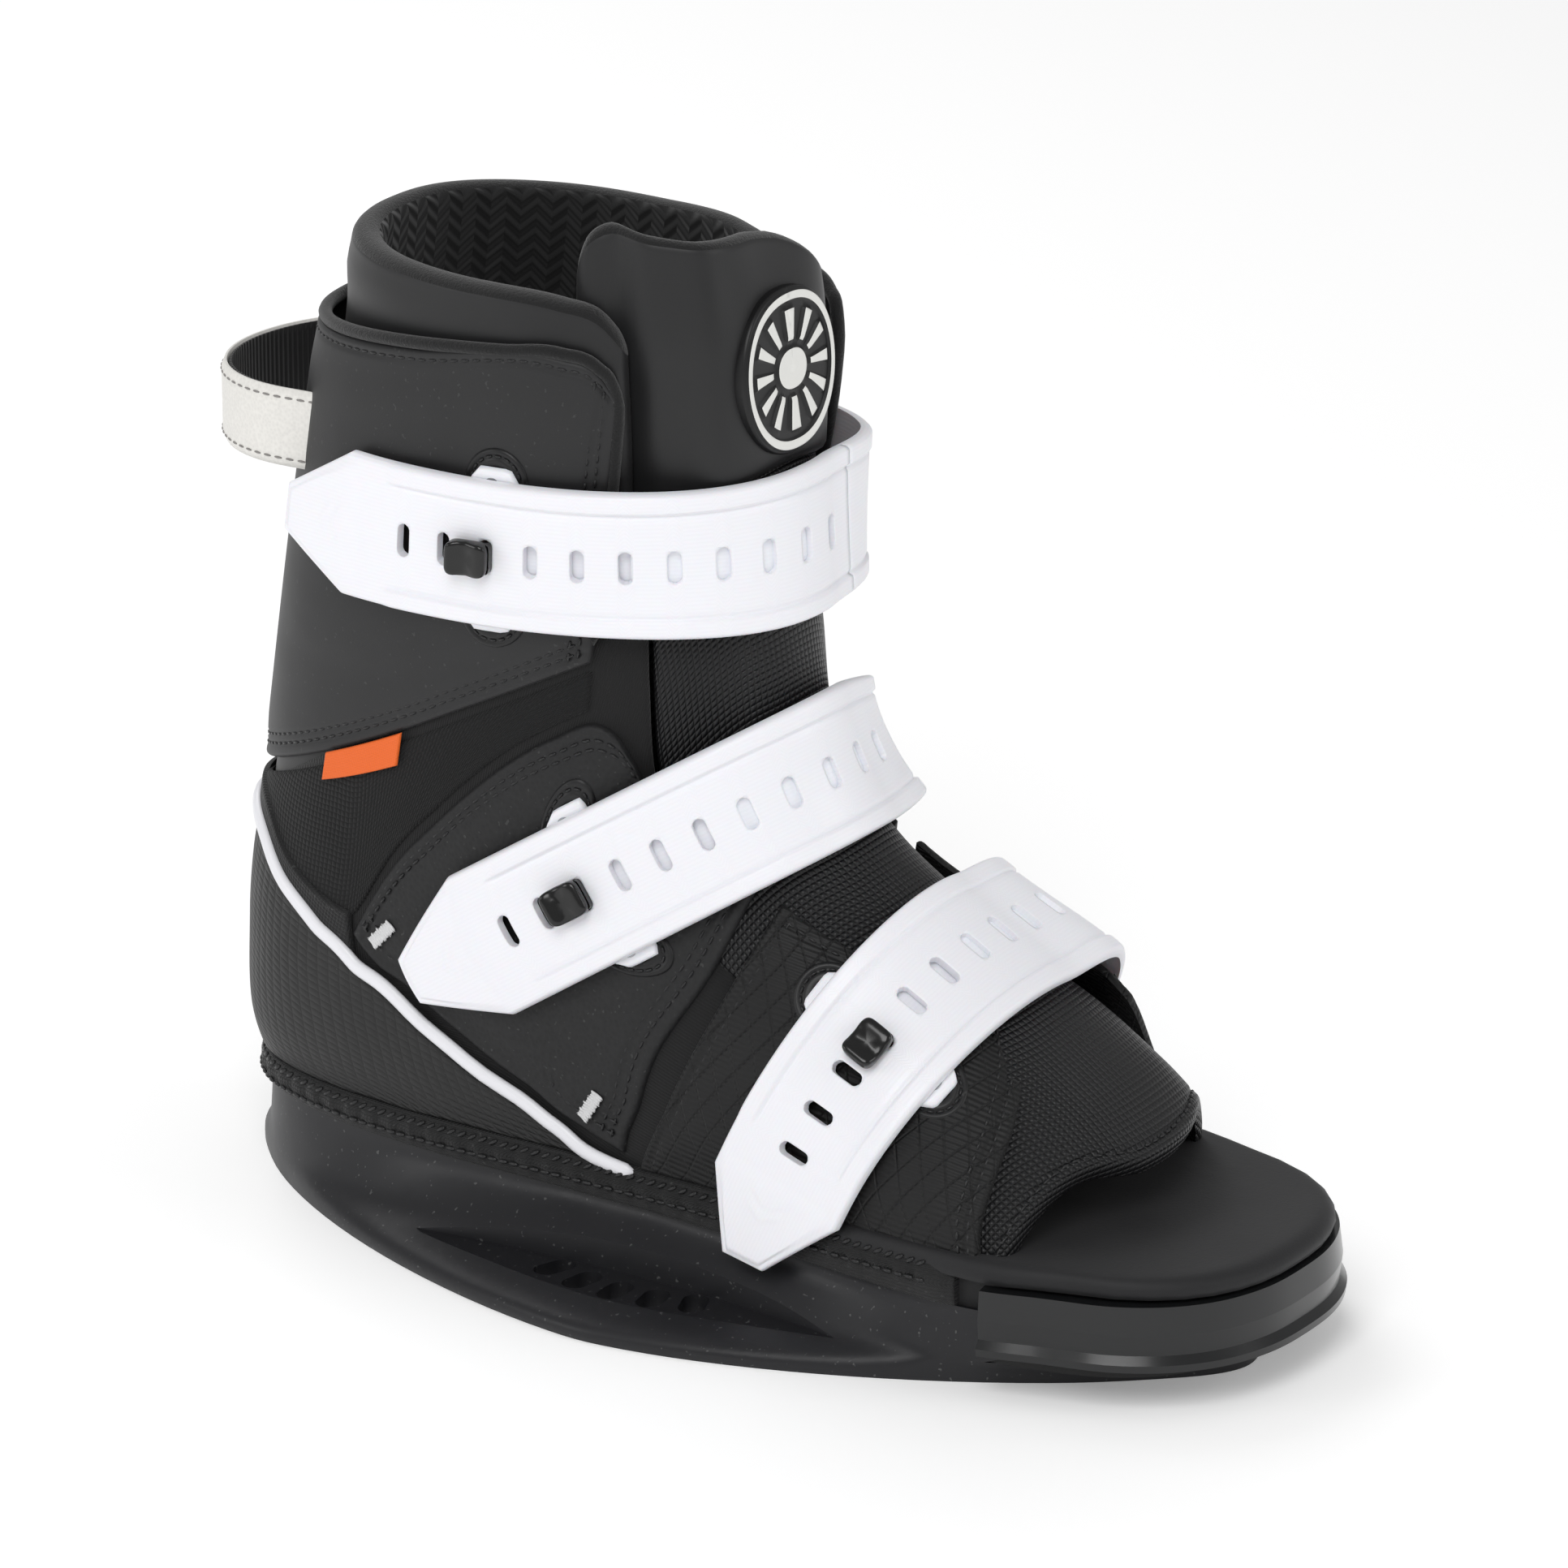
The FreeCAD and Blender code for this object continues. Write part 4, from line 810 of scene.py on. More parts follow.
@dataclass
class Panel:
    """A sewn panel: a crowned slab over the boot with rolled edges and pulled-down seams."""

    place: Place
    lift: Callable[[Array, Array], Array] = flare
    wall: float = 2.2
    step: float = 3.0
    roll: float = 1.6
    puff: float = 0.5
    seams: tuple[tuple[Side, float], ...] = ()
    relief: Callable[[Array, Array], Array] | None = None
    form: Fan | LinerForm = BOOT

    def sizes(self) -> tuple[float, float]:
        """Mean lengths of the patch along s and along t."""
        line = np.linspace(0, 1, 33)
        s, t = np.meshgrid(line, line, indexing="ij")
        spot = self.place(s, t)
        grid = self.form.skin(spot[..., 0], spot[..., 1], np.zeros(s.shape))
        return (float(np.linalg.norm(np.diff(grid, axis=0), axis=2).sum(0).mean()),
                float(np.linalg.norm(np.diff(grid, axis=1), axis=2).sum(1).mean()))

    def insets(self, grid: Array) -> dict[Side, Array]:
        """Distance of every grid point from each side, along the grid's own lines."""
        du = np.linalg.norm(np.diff(grid, axis=0), axis=2)
        dv = np.linalg.norm(np.diff(grid, axis=1), axis=2)
        u = np.concatenate([np.zeros((1, grid.shape[1])), np.cumsum(du, 0)])
        v = np.concatenate([np.zeros((grid.shape[0], 1)), np.cumsum(dv, 1)], axis=1)
        return {Side.START: u, Side.END: u[-1:] - u, Side.LOW: v, Side.HIGH: v[:, -1:] - v}

    def outer(self, spot: Array, insets: dict[Side, Array]) -> Array:
        """Lift of the outer face: the free lift, less the rolled edge's quarter circle and the
        seams' grooves, plus a low crown that grows away from the edges."""
        phi, v = spot[..., 0], spot[..., 1]
        near = np.minimum(np.minimum(insets[Side.START], insets[Side.END]),
                          np.minimum(insets[Side.LOW], insets[Side.HIGH]))
        edge = np.sqrt(1 - (1 - np.clip(near / self.roll, 0, 1)) ** 2)
        lift = self.lift(phi, v) - (self.wall - 0.15) * (1 - edge)
        lift = lift + self.puff * smooth(2.0, 14.0, near)
        for side, inset in self.seams:
            lift = lift - 0.45 * hump(insets[side], inset, 0.8) * smooth(0.5, 3.0, near)
        if self.relief is not None:
            lift = lift + self.relief(phi, v) * smooth(1.0, 4.0, near)
        return lift

    def grids(self) -> tuple[Array, Array]:
        """Outer and inner grids of points."""
        long, wide = self.sizes()
        s, t = np.meshgrid(clustered(long, int(long / self.step)),
                           clustered(wide, int(wide / self.step)), indexing="ij")
        spot = self.place(s, t)
        flat = self.form.skin(spot[..., 0], spot[..., 1], np.zeros(s.shape))
        top = self.outer(spot, self.insets(flat))
        under = self.lift(spot[..., 0], spot[..., 1]) - self.wall
        return (self.form.skin(spot[..., 0], spot[..., 1], top),
                self.form.skin(spot[..., 0], spot[..., 1], under))

    def seam(self, side: Side, inset: float, ends: tuple[float, float] = (0.0, 0.0)
             ) -> tuple[Array, Array]:
        """Line and outward directions of a seam at an even distance from a side.

        Args:
            side: Side of the patch.
            inset: Distance from it.
            ends: How much is left off at either end, as fractions.
        """
        run = np.linspace(ends[0], 1 - ends[1], 120)
        across = np.linspace(0, 1, 25)
        a, b = np.meshgrid(run, across, indexing="ij")
        s, t = (a, b) if side in (Side.LOW, Side.HIGH) else (b, a)
        spot = self.place(s, t)
        grid = self.form.skin(spot[..., 0], spot[..., 1], np.zeros(a.shape))
        width = np.linalg.norm(np.diff(grid, axis=1), axis=2).sum(1)
        part = np.clip(inset / width, 0, 1)
        part = 1 - part if side in (Side.HIGH, Side.END) else part
        s, t = (run, part) if side in (Side.LOW, Side.HIGH) else (part, run)
        spot = self.place(s, t)
        phi, v = spot[..., 0], spot[..., 1]
        lift = self.lift(phi, v) + self.puff * float(smooth(2.0, 14.0, inset)) - 0.30
        if self.relief is not None:
            lift = lift + self.relief(phi, v)
        line = self.form.skin(phi, v, lift)
        return line, self.form.skin(phi, v, lift + 1.0) - line

    def build(self, name: str, finish: Finish, slot: str) -> bpy.types.Object:
        """The panel's object."""
        top, under = self.grids()
        return shell(top, under).put(name, [finish], slot)


PIPING = ((1.752, .444), (1.747, .478), (1.678, .517), (1.627, .551), (1.620, .586),
          (1.647, .626), (1.766, .675), (1.947, .712), (2.185, .747), (2.387, .772),
          (2.60, .787), (math.pi, .797))
MESH_LOW = ((1.03, .751), (1.15, .753), (1.39, .750), (1.64, .729), (1.79, .703), (1.93, .722),
            (2.185, .755), (2.387, .779), (2.60, .794), (math.pi, .803))
CUFF_LOW = ((1.02, .783), (1.6, .793), (2.48, .808), (math.pi - .004, .812))
CUFF_HIGH = ((.885, .964), (.98, .988), (1.15, 1.0), (1.7, 1.0), (2.5, 1.0), (math.pi - .004, 1.0))
QUARTER_HIGH = ((.86, .690), (.93, .722), (1.0, .738), (1.15, .745), (1.39, .742), (1.64, .720),
                (1.775, .693))
QUARTER_FRONT = ((.647, .530), (1.0, .504), (1.39, .492), (1.685, .468))
QUARTER_REAR = ((1.685, .468), (1.645, .514), (1.600, .550), (1.594, .586), (1.620, .630),
                (1.69, .662), (1.775, .693))
FOREFOOT_FRONT = ((.207, .221), (.427, .165), (.63, .137), (.979, .107), (1.226, .085),
                  (1.39, .060))
FOREFOOT_REAR = ((.60, .505), (1.0, .482), (1.4, .464), (1.68, .450))
FOREFOOT_TOP = ((.207, .221), (.41, .33), (.54, .42), (.60, .505))
VAMP_EDGE = ((-1.5, .030), (-1.2, .043), (-.9, .050), (-.55, .042), (-.2, .016), (.1, .006),
             (.24, .009), (.6, .046), (.98, .050), (1.25, .041), (1.54, .028))
COLLAR_EDGE = ((.86, .990), (1.0, 1.022), (1.2, 1.038), (1.57, 1.052), (2.2, 1.070),
               (math.pi, 1.085))
PANEL_LOW = 33.2
PER_PHI, PER_V = 55.0, 690.0


@dataclass
class Upper:
    """Sewn shell of the boot: panels on both sides, heel counter, piping, tag and tacks."""

    wall: float = 2.2
    stitch_inset: float = 4.0
    stitch_second: float = 6.6
    mesh_depth: float = -0.8
    counter_margin: float = 1.2
    piping_lift: float = 0.6
    piping_size: tuple[float, float] = (4.2, 2.9)
    tag_lift: float = 1.15
    sock_depth: float = -2.6
    sock_wall: float = 0.8
    strip_lift: float = 0.25
    tape_lift: float = -1.7
    tape_size: tuple[float, float] = (3.4, 3.6)
    made: list[bpy.types.Object] = field(default_factory=list)
    seam_work: list[Piece] = field(default_factory=list)

    def cuff_relief(self, phi: Array, v: Array) -> Array:
        """Embossing on the cuff: a soft-edged block high up and a wedge low down, 0.5 mm high."""
        side = np.abs(phi)
        block = (smooth(1.55, 1.60, side) * (1 - smooth(2.35, 2.42, side))
                 * smooth(.930, .938, v) * (1 - smooth(.965, .985, v)))
        slope = .815 + .045 * (side - 1.4)
        wedge = (smooth(1.28, 1.40, side) * (1 - smooth(2.2, 2.5, side))
                 * smooth(slope, slope + .006, v) * (1 - smooth(slope + .02, slope + .035, v)))
        return 0.45 * block + 0.40 * wedge

    def forefoot_low(self) -> Callable[[Array], Array]:
        """Lower edge of the forefoot panel along the sole line."""
        stops = .060 + (.450 - .060) * np.arange(7) / 6
        return path(list(zip(low_phi(stops, PANEL_LOW).tolist(), stops.tolist())))

    def places(self, medial: bool) -> dict[str, Place]:
        """Patches of the four panels on one side."""
        raised = [(phi, v - .006) for phi, v in CUFF_LOW]
        maps = {"cuff": coons(path(CUFF_LOW), path(CUFF_HIGH)),
                "mesh": coons(path(MESH_LOW), path(raised))}
        if not medial:
            maps["quarter"] = coons(path(QUARTER_FRONT), path(QUARTER_HIGH),
                                    end=path(QUARTER_REAR))
            maps["forefoot"] = coons(path(FOREFOOT_FRONT), path(FOREFOOT_REAR),
                                     start=path(FOREFOOT_TOP), end=self.forefoot_low())
            return maps
        front = ((.70, .19), (.95, .150), (1.15, .110), (1.39, .060))
        rear = ((.74, .497), (1.0, .482), (1.4, .464), (1.68, .450))
        quarter = ((.76, .525), (1.0, .504), (1.39, .492), (1.685, .468))
        high = ((FLAP_EDGE, .964), (.80, .988), (1.05, 1.0)) + CUFF_HIGH[3:]
        maps["cuff"] = coons(path(((.92, .783),) + CUFF_LOW[1:]), path(high))
        maps["quarter"] = coons(path(quarter), path(QUARTER_HIGH), end=path(QUARTER_REAR))
        maps["forefoot"] = coons(path(front), path(rear), end=self.forefoot_low())
        return {name: mirrored(place) for name, place in maps.items()}

    def counter_place(self) -> Place:
        """Patch of the heel counter, from the lateral side round to the medial."""
        low = side_line(PANEL_LOW, .475, 9)
        low += [(2 * math.pi - phi, v) for phi, v in low[-2::-1]]
        line = np.array(PIPING)
        run = np.gradient(line, axis=0) * np.array([PER_PHI, PER_V])
        side = unit(run)[:, ::-1] * np.array([-1.0, 1.0]) / np.array([PER_PHI, PER_V])
        high = (line - side * self.counter_margin)[1:].tolist()
        high += [(2 * math.pi - phi, v) for phi, v in high[-2::-1]]
        return coons(path(low), path(high))

    def sew(self, panel: Panel, rows: Sequence[tuple[Side, float, float, float]]) -> None:
        """Adds stitches along rows of (side, inset, start left off, end left off)."""
        for side, inset, start, end in rows:
            line, out = panel.seam(side, inset, (start, end))
            self.seam_work.append(stitches(line, out))

    def panels(self) -> None:
        """The eight side panels and their stitching."""
        one, two = self.stitch_inset, self.stitch_second
        finishes = {"cuff": (Finishes.CUFF, "cuff_leather"),
                    "mesh": (Finishes.MESH, "mesh_knit"),
                    "quarter": (Finishes.QUARTER, "quarter_synthetic"),
                    "forefoot": (Finishes.FOREFOOT, "forefoot_nylon")}
        rows = {"cuff": ((Side.LOW, one), (Side.LOW, two), (Side.START, one), (Side.START, two),
                         (Side.HIGH, 3.0)),
                "mesh": (),
                "quarter": ((Side.HIGH, one), (Side.HIGH, two), (Side.LOW, one), (Side.LOW, two),
                            (Side.END, one), (Side.END, two)),
                "forefoot": ((Side.LOW, 4.5), (Side.LOW, 9.0), (Side.HIGH, 3.0),
                             (Side.START, 4.0))}
        for medial in (False, True):
            side = "medial" if medial else "lateral"
            for name, place in self.places(medial).items():
                panel = Panel(place, wall=1.4 if name == "mesh" else self.wall,
                              seams=rows[name],
                              puff={"cuff": 0.5, "mesh": 0.0, "quarter": 0.5,
                                    "forefoot": 0.9}[name],
                              relief=self.cuff_relief if name == "cuff" else None)
                if name == "mesh":
                    panel.lift = level(self.mesh_depth)
                finish, slot = finishes[name]
                piece = panel.build(f"{name}_panel_{side}", finish, slot)
                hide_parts(f"{name}_{side}")
                self.made.append(piece)
                self.sew(panel, [(s, i, .03, .03) for s, i in rows[name]])

    def counter(self) -> None:
        """Moulded heel counter with a row of stitches under the piping."""
        panel = Panel(self.counter_place(), wall=self.wall, puff=0.3, step=2.4,
                      lift=level(0.0))
        piece = panel.build("heel_counter_cover", Finishes.COUNTER, "counter_ripstop")
        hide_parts("heel_counter")
        self.made.append(piece)
        self.sew(panel, [(Side.HIGH, 3.6, .02, .02), (Side.LOW, 3.0, .02, .02)])

    def piping(self) -> None:
        """White piping along the counter's upper edge: a half-round cord 4.2 mm wide."""
        both = list(PIPING) + [(2 * math.pi - phi, v) for phi, v in PIPING[-2::-1]]
        spot = path(both)(np.linspace(0, 1, 260))
        lift = np.full(len(spot), self.piping_lift)
        line = BOOT.skin(spot[:, 0], spot[:, 1], lift)
        out = BOOT.skin(spot[:, 0], spot[:, 1], lift + 1) - line
        piece = sweep(line, out, ellipse(*self.piping_size, 12), 2.0).put(
            "heel_piping_cord", [Finishes.PIPING], "piping", weld=True)
        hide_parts("heel_piping")
        self.made.append(piece)

    def tacks(self) -> None:
        """Bar tacks: white thread in a tight zigzag, 9 mm long and 4 mm wide."""
        parts = []
        for ends in (((1.70, .678), (1.62, .683)), ((1.635, .506), (1.55, .508))):
            for sign in (1, -1):
                start, end = (BOOT.at(phi * sign, v) for phi, v in ends)
                middle = (np.array(ends[0]) + np.array(ends[1])) / 2
                out = BOOT.out(middle[0] * sign, middle[1])
                run = unit(end - start)
                side = np.cross(out, run)
                k = np.arange(23)
                corners = ((start + end) / 2 + out * 0.75 + ((k - 11) * 0.41)[:, None] * run
                           + np.where(k % 2 == 0, -2.0, 2.0)[:, None] * side)
                steps = np.linspace(0, 22, 23 * 5)
                line = pick(corners, steps)
                line = line + out * 0.25 * np.cos(math.pi * steps)[:, None] ** 2
                parts.append(sweep(line, np.tile(out, (len(line), 1)), ellipse(.75, .65, 6), .4))
        thing = merged(parts).put("bar_tack_threads", [Finishes.WHITE_THREAD], "tack_thread", weld=True)
        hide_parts("bar_tacks")
        self.made.append(thing)

    def tag(self) -> None:
        """Plain orange label, folded over the cuff's lower seam."""
        place = coons(path(((1.655, .7765), (1.985, .787))),
                      path(((1.655, .7935), (1.985, .800))))
        panel = Panel(place, wall=0.8, puff=0.15, roll=0.5, step=1.5,
                      lift=level(self.tag_lift))
        piece = panel.build("side_label", Finishes.TAG, "tag_fabric")
        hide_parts("side_tag")
        self.made.append(piece)

    def sock(self) -> None:
        """Thin dark knit under every panel: what shows in the gaps between them."""
        levels = np.linspace(.13, .80, 64)
        last = low_phi(levels, PANEL_LOW - 3.0)
        a, v = np.meshgrid(np.linspace(0, 1, 80), levels, indexing="ij")
        first = 1.00 - .20 * smooth(.45, .58, v)
        phi = first + (last[None] - first) * a
        depth = self.sock_depth + .7 * smooth(0.0, .12, a)
        sides = [shell(BOOT.skin(phi * sign, v, depth),
                       BOOT.skin(phi * sign, v, depth - self.sock_wall)) for sign in (1.0, -1.0)]
        self.made.append(merged(sides).put("knit_sock", [Finishes.GUSSET], "liner_foam"))

    def heel_strip(self) -> None:
        """Stitched black strip between the piping and the mesh, round the heel."""
        low = list(PIPING[6:]) + [(2 * math.pi - phi, v) for phi, v in PIPING[-2:5:-1]]
        high = list(MESH_LOW[4:]) + [(2 * math.pi - phi, v) for phi, v in MESH_LOW[-2:3:-1]]
        panel = Panel(coons(path(low), path([(phi, v + .004) for phi, v in high])), wall=1.6,
                      puff=0.2, roll=1.0, lift=level(self.strip_lift))
        self.made.append(panel.build("heel_strip", Finishes.RAND, "counter_ripstop"))
        self.sew(panel, [(Side.HIGH, 1.8, .01, .01)])

    def cuff_rim(self) -> None:
        """Brushed tape rolled over the cuff's upper and front edges, on both sides."""
        for side, sign in (("lateral", 1.0), ("medial", -1.0)):
            edge = ((1.03, .790), (.957, .86), (.908, .925), (.892, .958), (.915, .975),
                    (.98, .990))
            if sign < 0:
                edge = ((.925, .790), (.82, .86), (.735, .925), (.708, .955), (.735, .976),
                        (.81, .991))
            edge += ((1.15, 1.002), (1.4, 1.003), (1.7, 1.003), (2.5, 1.002), (math.pi, 1.002))
            spot = path(edge)(np.linspace(0, 1, 160)) * np.array([sign, 1.0])
            lift = flare(spot[:, 0], spot[:, 1]) + self.tape_lift
            line = BOOT.skin(spot[:, 0], spot[:, 1], lift)
            out = BOOT.skin(spot[:, 0], spot[:, 1], lift + 1) - line
            piece = sweep(line, out, ellipse(*self.tape_size, 12), 1.5).put(
                f"cuff_edge_tape_{side}", [Finishes.BINDING], "liner_foam", weld=True)
            self.made.append(piece)

    def build(self) -> None:
        """Makes the whole shell and rides it on the boot."""
        self.panels()
        self.counter()
        self.sock()
        self.heel_strip()
        self.piping()
        self.tacks()
        self.tag()
        self.cuff_rim()
        self.made.append(merged(self.seam_work).put("panel_stitching", [Finishes.THREAD],
                                                    "tack_thread"))
        for piece in self.made:
            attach(piece, "boot")


# ---- rand and base ---------------------------------------------------------------------------
@dataclass
class Base:
    """Base plate, bumper and fasteners from the CAD frame, with footbed and rand strip."""

    centre: tuple[float, float] = (3.0, 0.0)
    toe_centre_x: float = 5.0
    toe_half_width: float = 49.0
    toe_start: float = -101.0
    toe_tip: float = -160.0
    toe_roundness: float = 2.5
    rand_start: float = 0.082
    bed_top: float = 35.6

    def outline(self) -> Callable[[Array], Array]:
        """Distance from the centre to the sole's outline in a direction (0 is +Y, to +X)."""
        lateral = np.array(side_line(30.0, 0.06, 14))
        side = BOOT.at(lateral[:, 0], lateral[:, 1])[:, :2]
        other = BOOT.at(-lateral[:, 0], lateral[:, 1])[:-1, :2]
        turn = math.pi * np.arange(1, 12) / 12
        power = 2 / self.toe_roundness
        toe = np.stack([self.toe_centre_x + self.toe_half_width
                        * np.sign(np.cos(turn)) * np.abs(np.cos(turn)) ** power,
                        self.toe_start + (self.toe_tip - self.toe_start)
                        * np.sin(turn) ** power], -1)
        points = np.concatenate([side, other, toe]) - np.array(self.centre)
        angle, reach = np.arctan2(points[:, 0], points[:, 1]), np.hypot(*points.T)
        order = np.argsort(angle)
        angle, reach = angle[order], reach[order]
        track = Track(np.concatenate([angle[-3:] - 2 * math.pi, angle, angle[:3] + 2 * math.pi]),
                      np.concatenate([reach[-3:], reach, reach[:3]]))
        return lambda at: track(np.arctan2(np.sin(at), np.cos(at)))

    def footbed(self) -> bpy.types.Object:
        """Foam footbed: rings of the outline drawn in over a rounded edge, with a faint dish and
        waves 0.15 mm high on top."""
        radius = self.outline()
        turn = np.linspace(0, 2 * math.pi, 145)
        reach = radius(turn)
        front = smooth(0.62, 0.80, np.abs(np.arctan2(np.sin(turn), np.cos(turn))) / math.pi)
        full = reach - 7.5 + 11.4 * front
        drop = np.array([-21.0, -6.2, -5.2, -3.8, -2.6, -1.5, -.8, -.25, 0, 0, 0, 0, 0, 0, 0, 0,
                         0, 0, 0, 0, 0])
        draw = np.array([7.5, 7.2, .6, 0, .2, .9, 1.8, 3.0, 4.6, 7.0, 10, 14, 18, 23, 28, 34, 40,
                         46, 52, 60, 70])
        share = np.clip(1 - draw[None, :] / full[:, None], 0.004, 1)
        share[:, -1] = 0.004
        r = full[:, None] * share
        x = self.centre[0] + r * np.sin(turn)[:, None]
        y = self.centre[1] + r * np.cos(turn)[:, None]
        inner = smooth(5, 20, draw)[None, :]
        waves = 0.15 * np.sin(0.9 * x + 2.2 * np.sin(0.14 * y)) * np.sin(0.11 * y + 0.05 * x)
        dish = -0.9 * (1 - smooth(0.15, 0.95, share)) * inner
        z = self.bed_top + drop[None, :] + (waves + dish) * inner - 0.4 * smooth(-60, 60, y)
        grid = np.stack([x, y, z], -1)[::-1]
        body = surface(grid)
        floor = np.stack([x[:, 0], y[:, 0], z[:, 0]], -1)[::-1]
        inside = floor.copy()
        inside[:, :2] = np.array(self.centre) + (floor[:, :2] - np.array(self.centre)) * 0.004
        body = body.joined(surface(np.stack([inside, floor], 1)))
        piece = body.put("footbed_foam", [Finishes.FOOTBED], "footbed_foam", weld=True)
        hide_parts("footbed")
        return piece

    def rand_line(self, inset: float) -> tuple[Array, Array]:
        """Plan line of the rand strip and its outward directions."""
        line = np.array(side_line(30.0, self.rand_start, 14))
        near = BOOT.at(line[:, 0], line[:, 1])[:, :2]
        far = BOOT.at(-line[:, 0], line[:, 1])[:-1, :2][::-1]
        middle = path(np.concatenate([near, far]).tolist())(np.linspace(0, 1, 420))
        ahead = unit(np.gradient(middle, axis=0))
        side = np.stack([ahead[:, 1], -ahead[:, 0]], -1)
        away = middle - np.array(self.centre)
        side = side * np.sign(np.sum(side * away, axis=1, keepdims=True))
        return middle + side * inset, side

    def rand(self) -> list[bpy.types.Object]:
        """Folded strip: a bulged band from the base to the panels, gathered in small pleats, with
        a corded stitch along its upper edge."""
        middle, side = self.rand_line(0.0)
        count = len(middle)
        run = np.concatenate([[0], np.cumsum(np.linalg.norm(np.diff(middle, axis=0), axis=1))])
        t = np.linspace(0, 1, 15)
        low = 23.0 + 0.016 * middle[:, 1] + 0.25
        pleat = (0.35 * np.sin(2 * math.pi * run / 7.3 + 1.3 * np.sin(run / 31))
                 + 0.22 * np.sin(2 * math.pi * run / 3.1 + 0.7))
        belly = 1.2 + 1.5 * np.sin(math.pi * t) ** 0.8
        out = belly[None] + pleat[:, None] * np.sin(math.pi * t)[None]
        ends = np.minimum(np.arange(count), count - 1 - np.arange(count)) / 4.0
        out = out * np.clip(ends, 0.25, 1)[:, None]
        height = low[:, None] + (33.6 - low)[:, None] * t[None]

        def sheet(reach: Array) -> Array:
            """Grid of points at that reach from the line."""
            plan = middle[:, None] + side[:, None] * reach[..., None]
            return np.concatenate([plan, height[..., None]], -1)
        band = shell(sheet(out), sheet(np.full(out.shape, -1.4))).put(
            "rand_strip_fold", [Finishes.RAND], "rand_fabric")
        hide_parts("rand_strip")
        cords = None
        for level, inset, turn in ((31.9, 2.2, 0.55), (27.6, 2.9, 0.0)):
            line = np.concatenate([middle + side * inset, np.full((count, 1), level)], -1)
            normal = np.concatenate([side, np.full((count, 1), 0.25)], -1)
            row = stitches(line[6:-6], unit(normal)[6:-6], 3.3, (3.1, 1.3, 1.1), turn)
            cords = row if cords is None else cords.joined(row)
        stitching = cords.put("rand_stitching", [Finishes.THREAD], "tack_thread")
        return [band, stitching]

    def build(self) -> None:
        """Makes the soft pieces and dresses the CAD ones."""
        for piece in (self.footbed(), *self.rand()):
            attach(piece, "boot")
        for node, finish in (("base_chassis", Finishes.BASE), ("toe_bumper", Finishes.BUMPER),
                             ("insole_board", Finishes.BOARD), ("chassis_screws", Finishes.STEEL),
                             ("tee_nuts", Finishes.STEEL), ("anchor_studs", Finishes.STEEL),
                             ("strap_rivets", Finishes.DISC)):
            dress(node, finish)


# ---- liner and tongue ------------------------------------------------------------------------
@dataclass
class Liner:
    """Padded sleeve inside the shell: smooth outside, taped rim, zigzag knit inside."""

    wall: float = 8.0

    def collar(self) -> bpy.types.Object:
        """Sleeve: its section goes up the outer face, over the rim as a half circle and down the
        inner face, and is carried from one front edge round the heel to the other. Both front
        edges draw in as a quarter circle."""
        edge = list(COLLAR_EDGE) + [(2 * math.pi - phi, v) for phi, v in COLLAR_EDGE[-2::-1]]
        foot = [(.86, .60), (1.4, .60), (math.pi, .70), (2 * math.pi - 1.4, .60),
                (2 * math.pi - .86, .60)]
        s = clustered(330.0, 110, 6.0)
        high, low = path(edge)(s), path(foot)(s)
        rise = np.concatenate([np.linspace(0, .93, 34), [.96, .98, .99]])
        turn = np.linspace(0, math.pi, 13)
        t = np.concatenate([rise, np.ones(len(turn)), rise[::-1]])
        level = np.concatenate([np.ones(len(rise)), np.cos(turn), -np.ones(len(rise))])
        over = np.concatenate([np.zeros(len(rise)), np.sin(turn), np.zeros(len(rise))])
        spot = low[:, None] * (1 - t)[None, :, None] + high[:, None] * t[None, :, None]
        run = s * 330.0
        near = np.minimum(run, run[-1] - run)
        draw = np.sqrt(1 - (1 - np.clip(near / 4.0, 0, 1)) ** 2)[:, None] * 0.97 + 0.03
        half = self.wall / 2
        crown = 0.9 * hump(t, .93, .05)[None] * (level[None] > 0.5)
        lift = -half + half * level[None] * draw + crown * draw
        v = spot[..., 1] + over[None] * half * 0.9 / 285.0 * draw
        grid = LINER.skin(spot[..., 0], v, lift)
        piece = surface(grid)
        columns = grid.shape[1] - 1
        number = np.zeros(columns, int)
        number[len(rise) + 1:len(rise) + 9] = 1
        number[len(rise) + 9:] = 2
        piece.slots = np.tile(number, grid.shape[0] - 1)
        sole = surface(np.stack([grid[:, -1], grid[:, 0]], 1), 2)
        piece = piece.joined(sole)
        thing = piece.put("padded_collar", [Finishes.COLLAR, Finishes.BINDING, Finishes.LINING],
                          "liner_foam", weld=True)
        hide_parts("liner_sleeve")
        return thing


def pinch(points: Array) -> Array:
    """How far the straps press the tongue in: a bell 15 mm wide about each strap's plane."""
    total = np.zeros(points.shape[:-1])
    for ny, nz, d in STRAP_PLANES:
        total = total + hump(points[..., 1] * ny + points[..., 2] * nz - d, 0.0, 17.0)
    return total


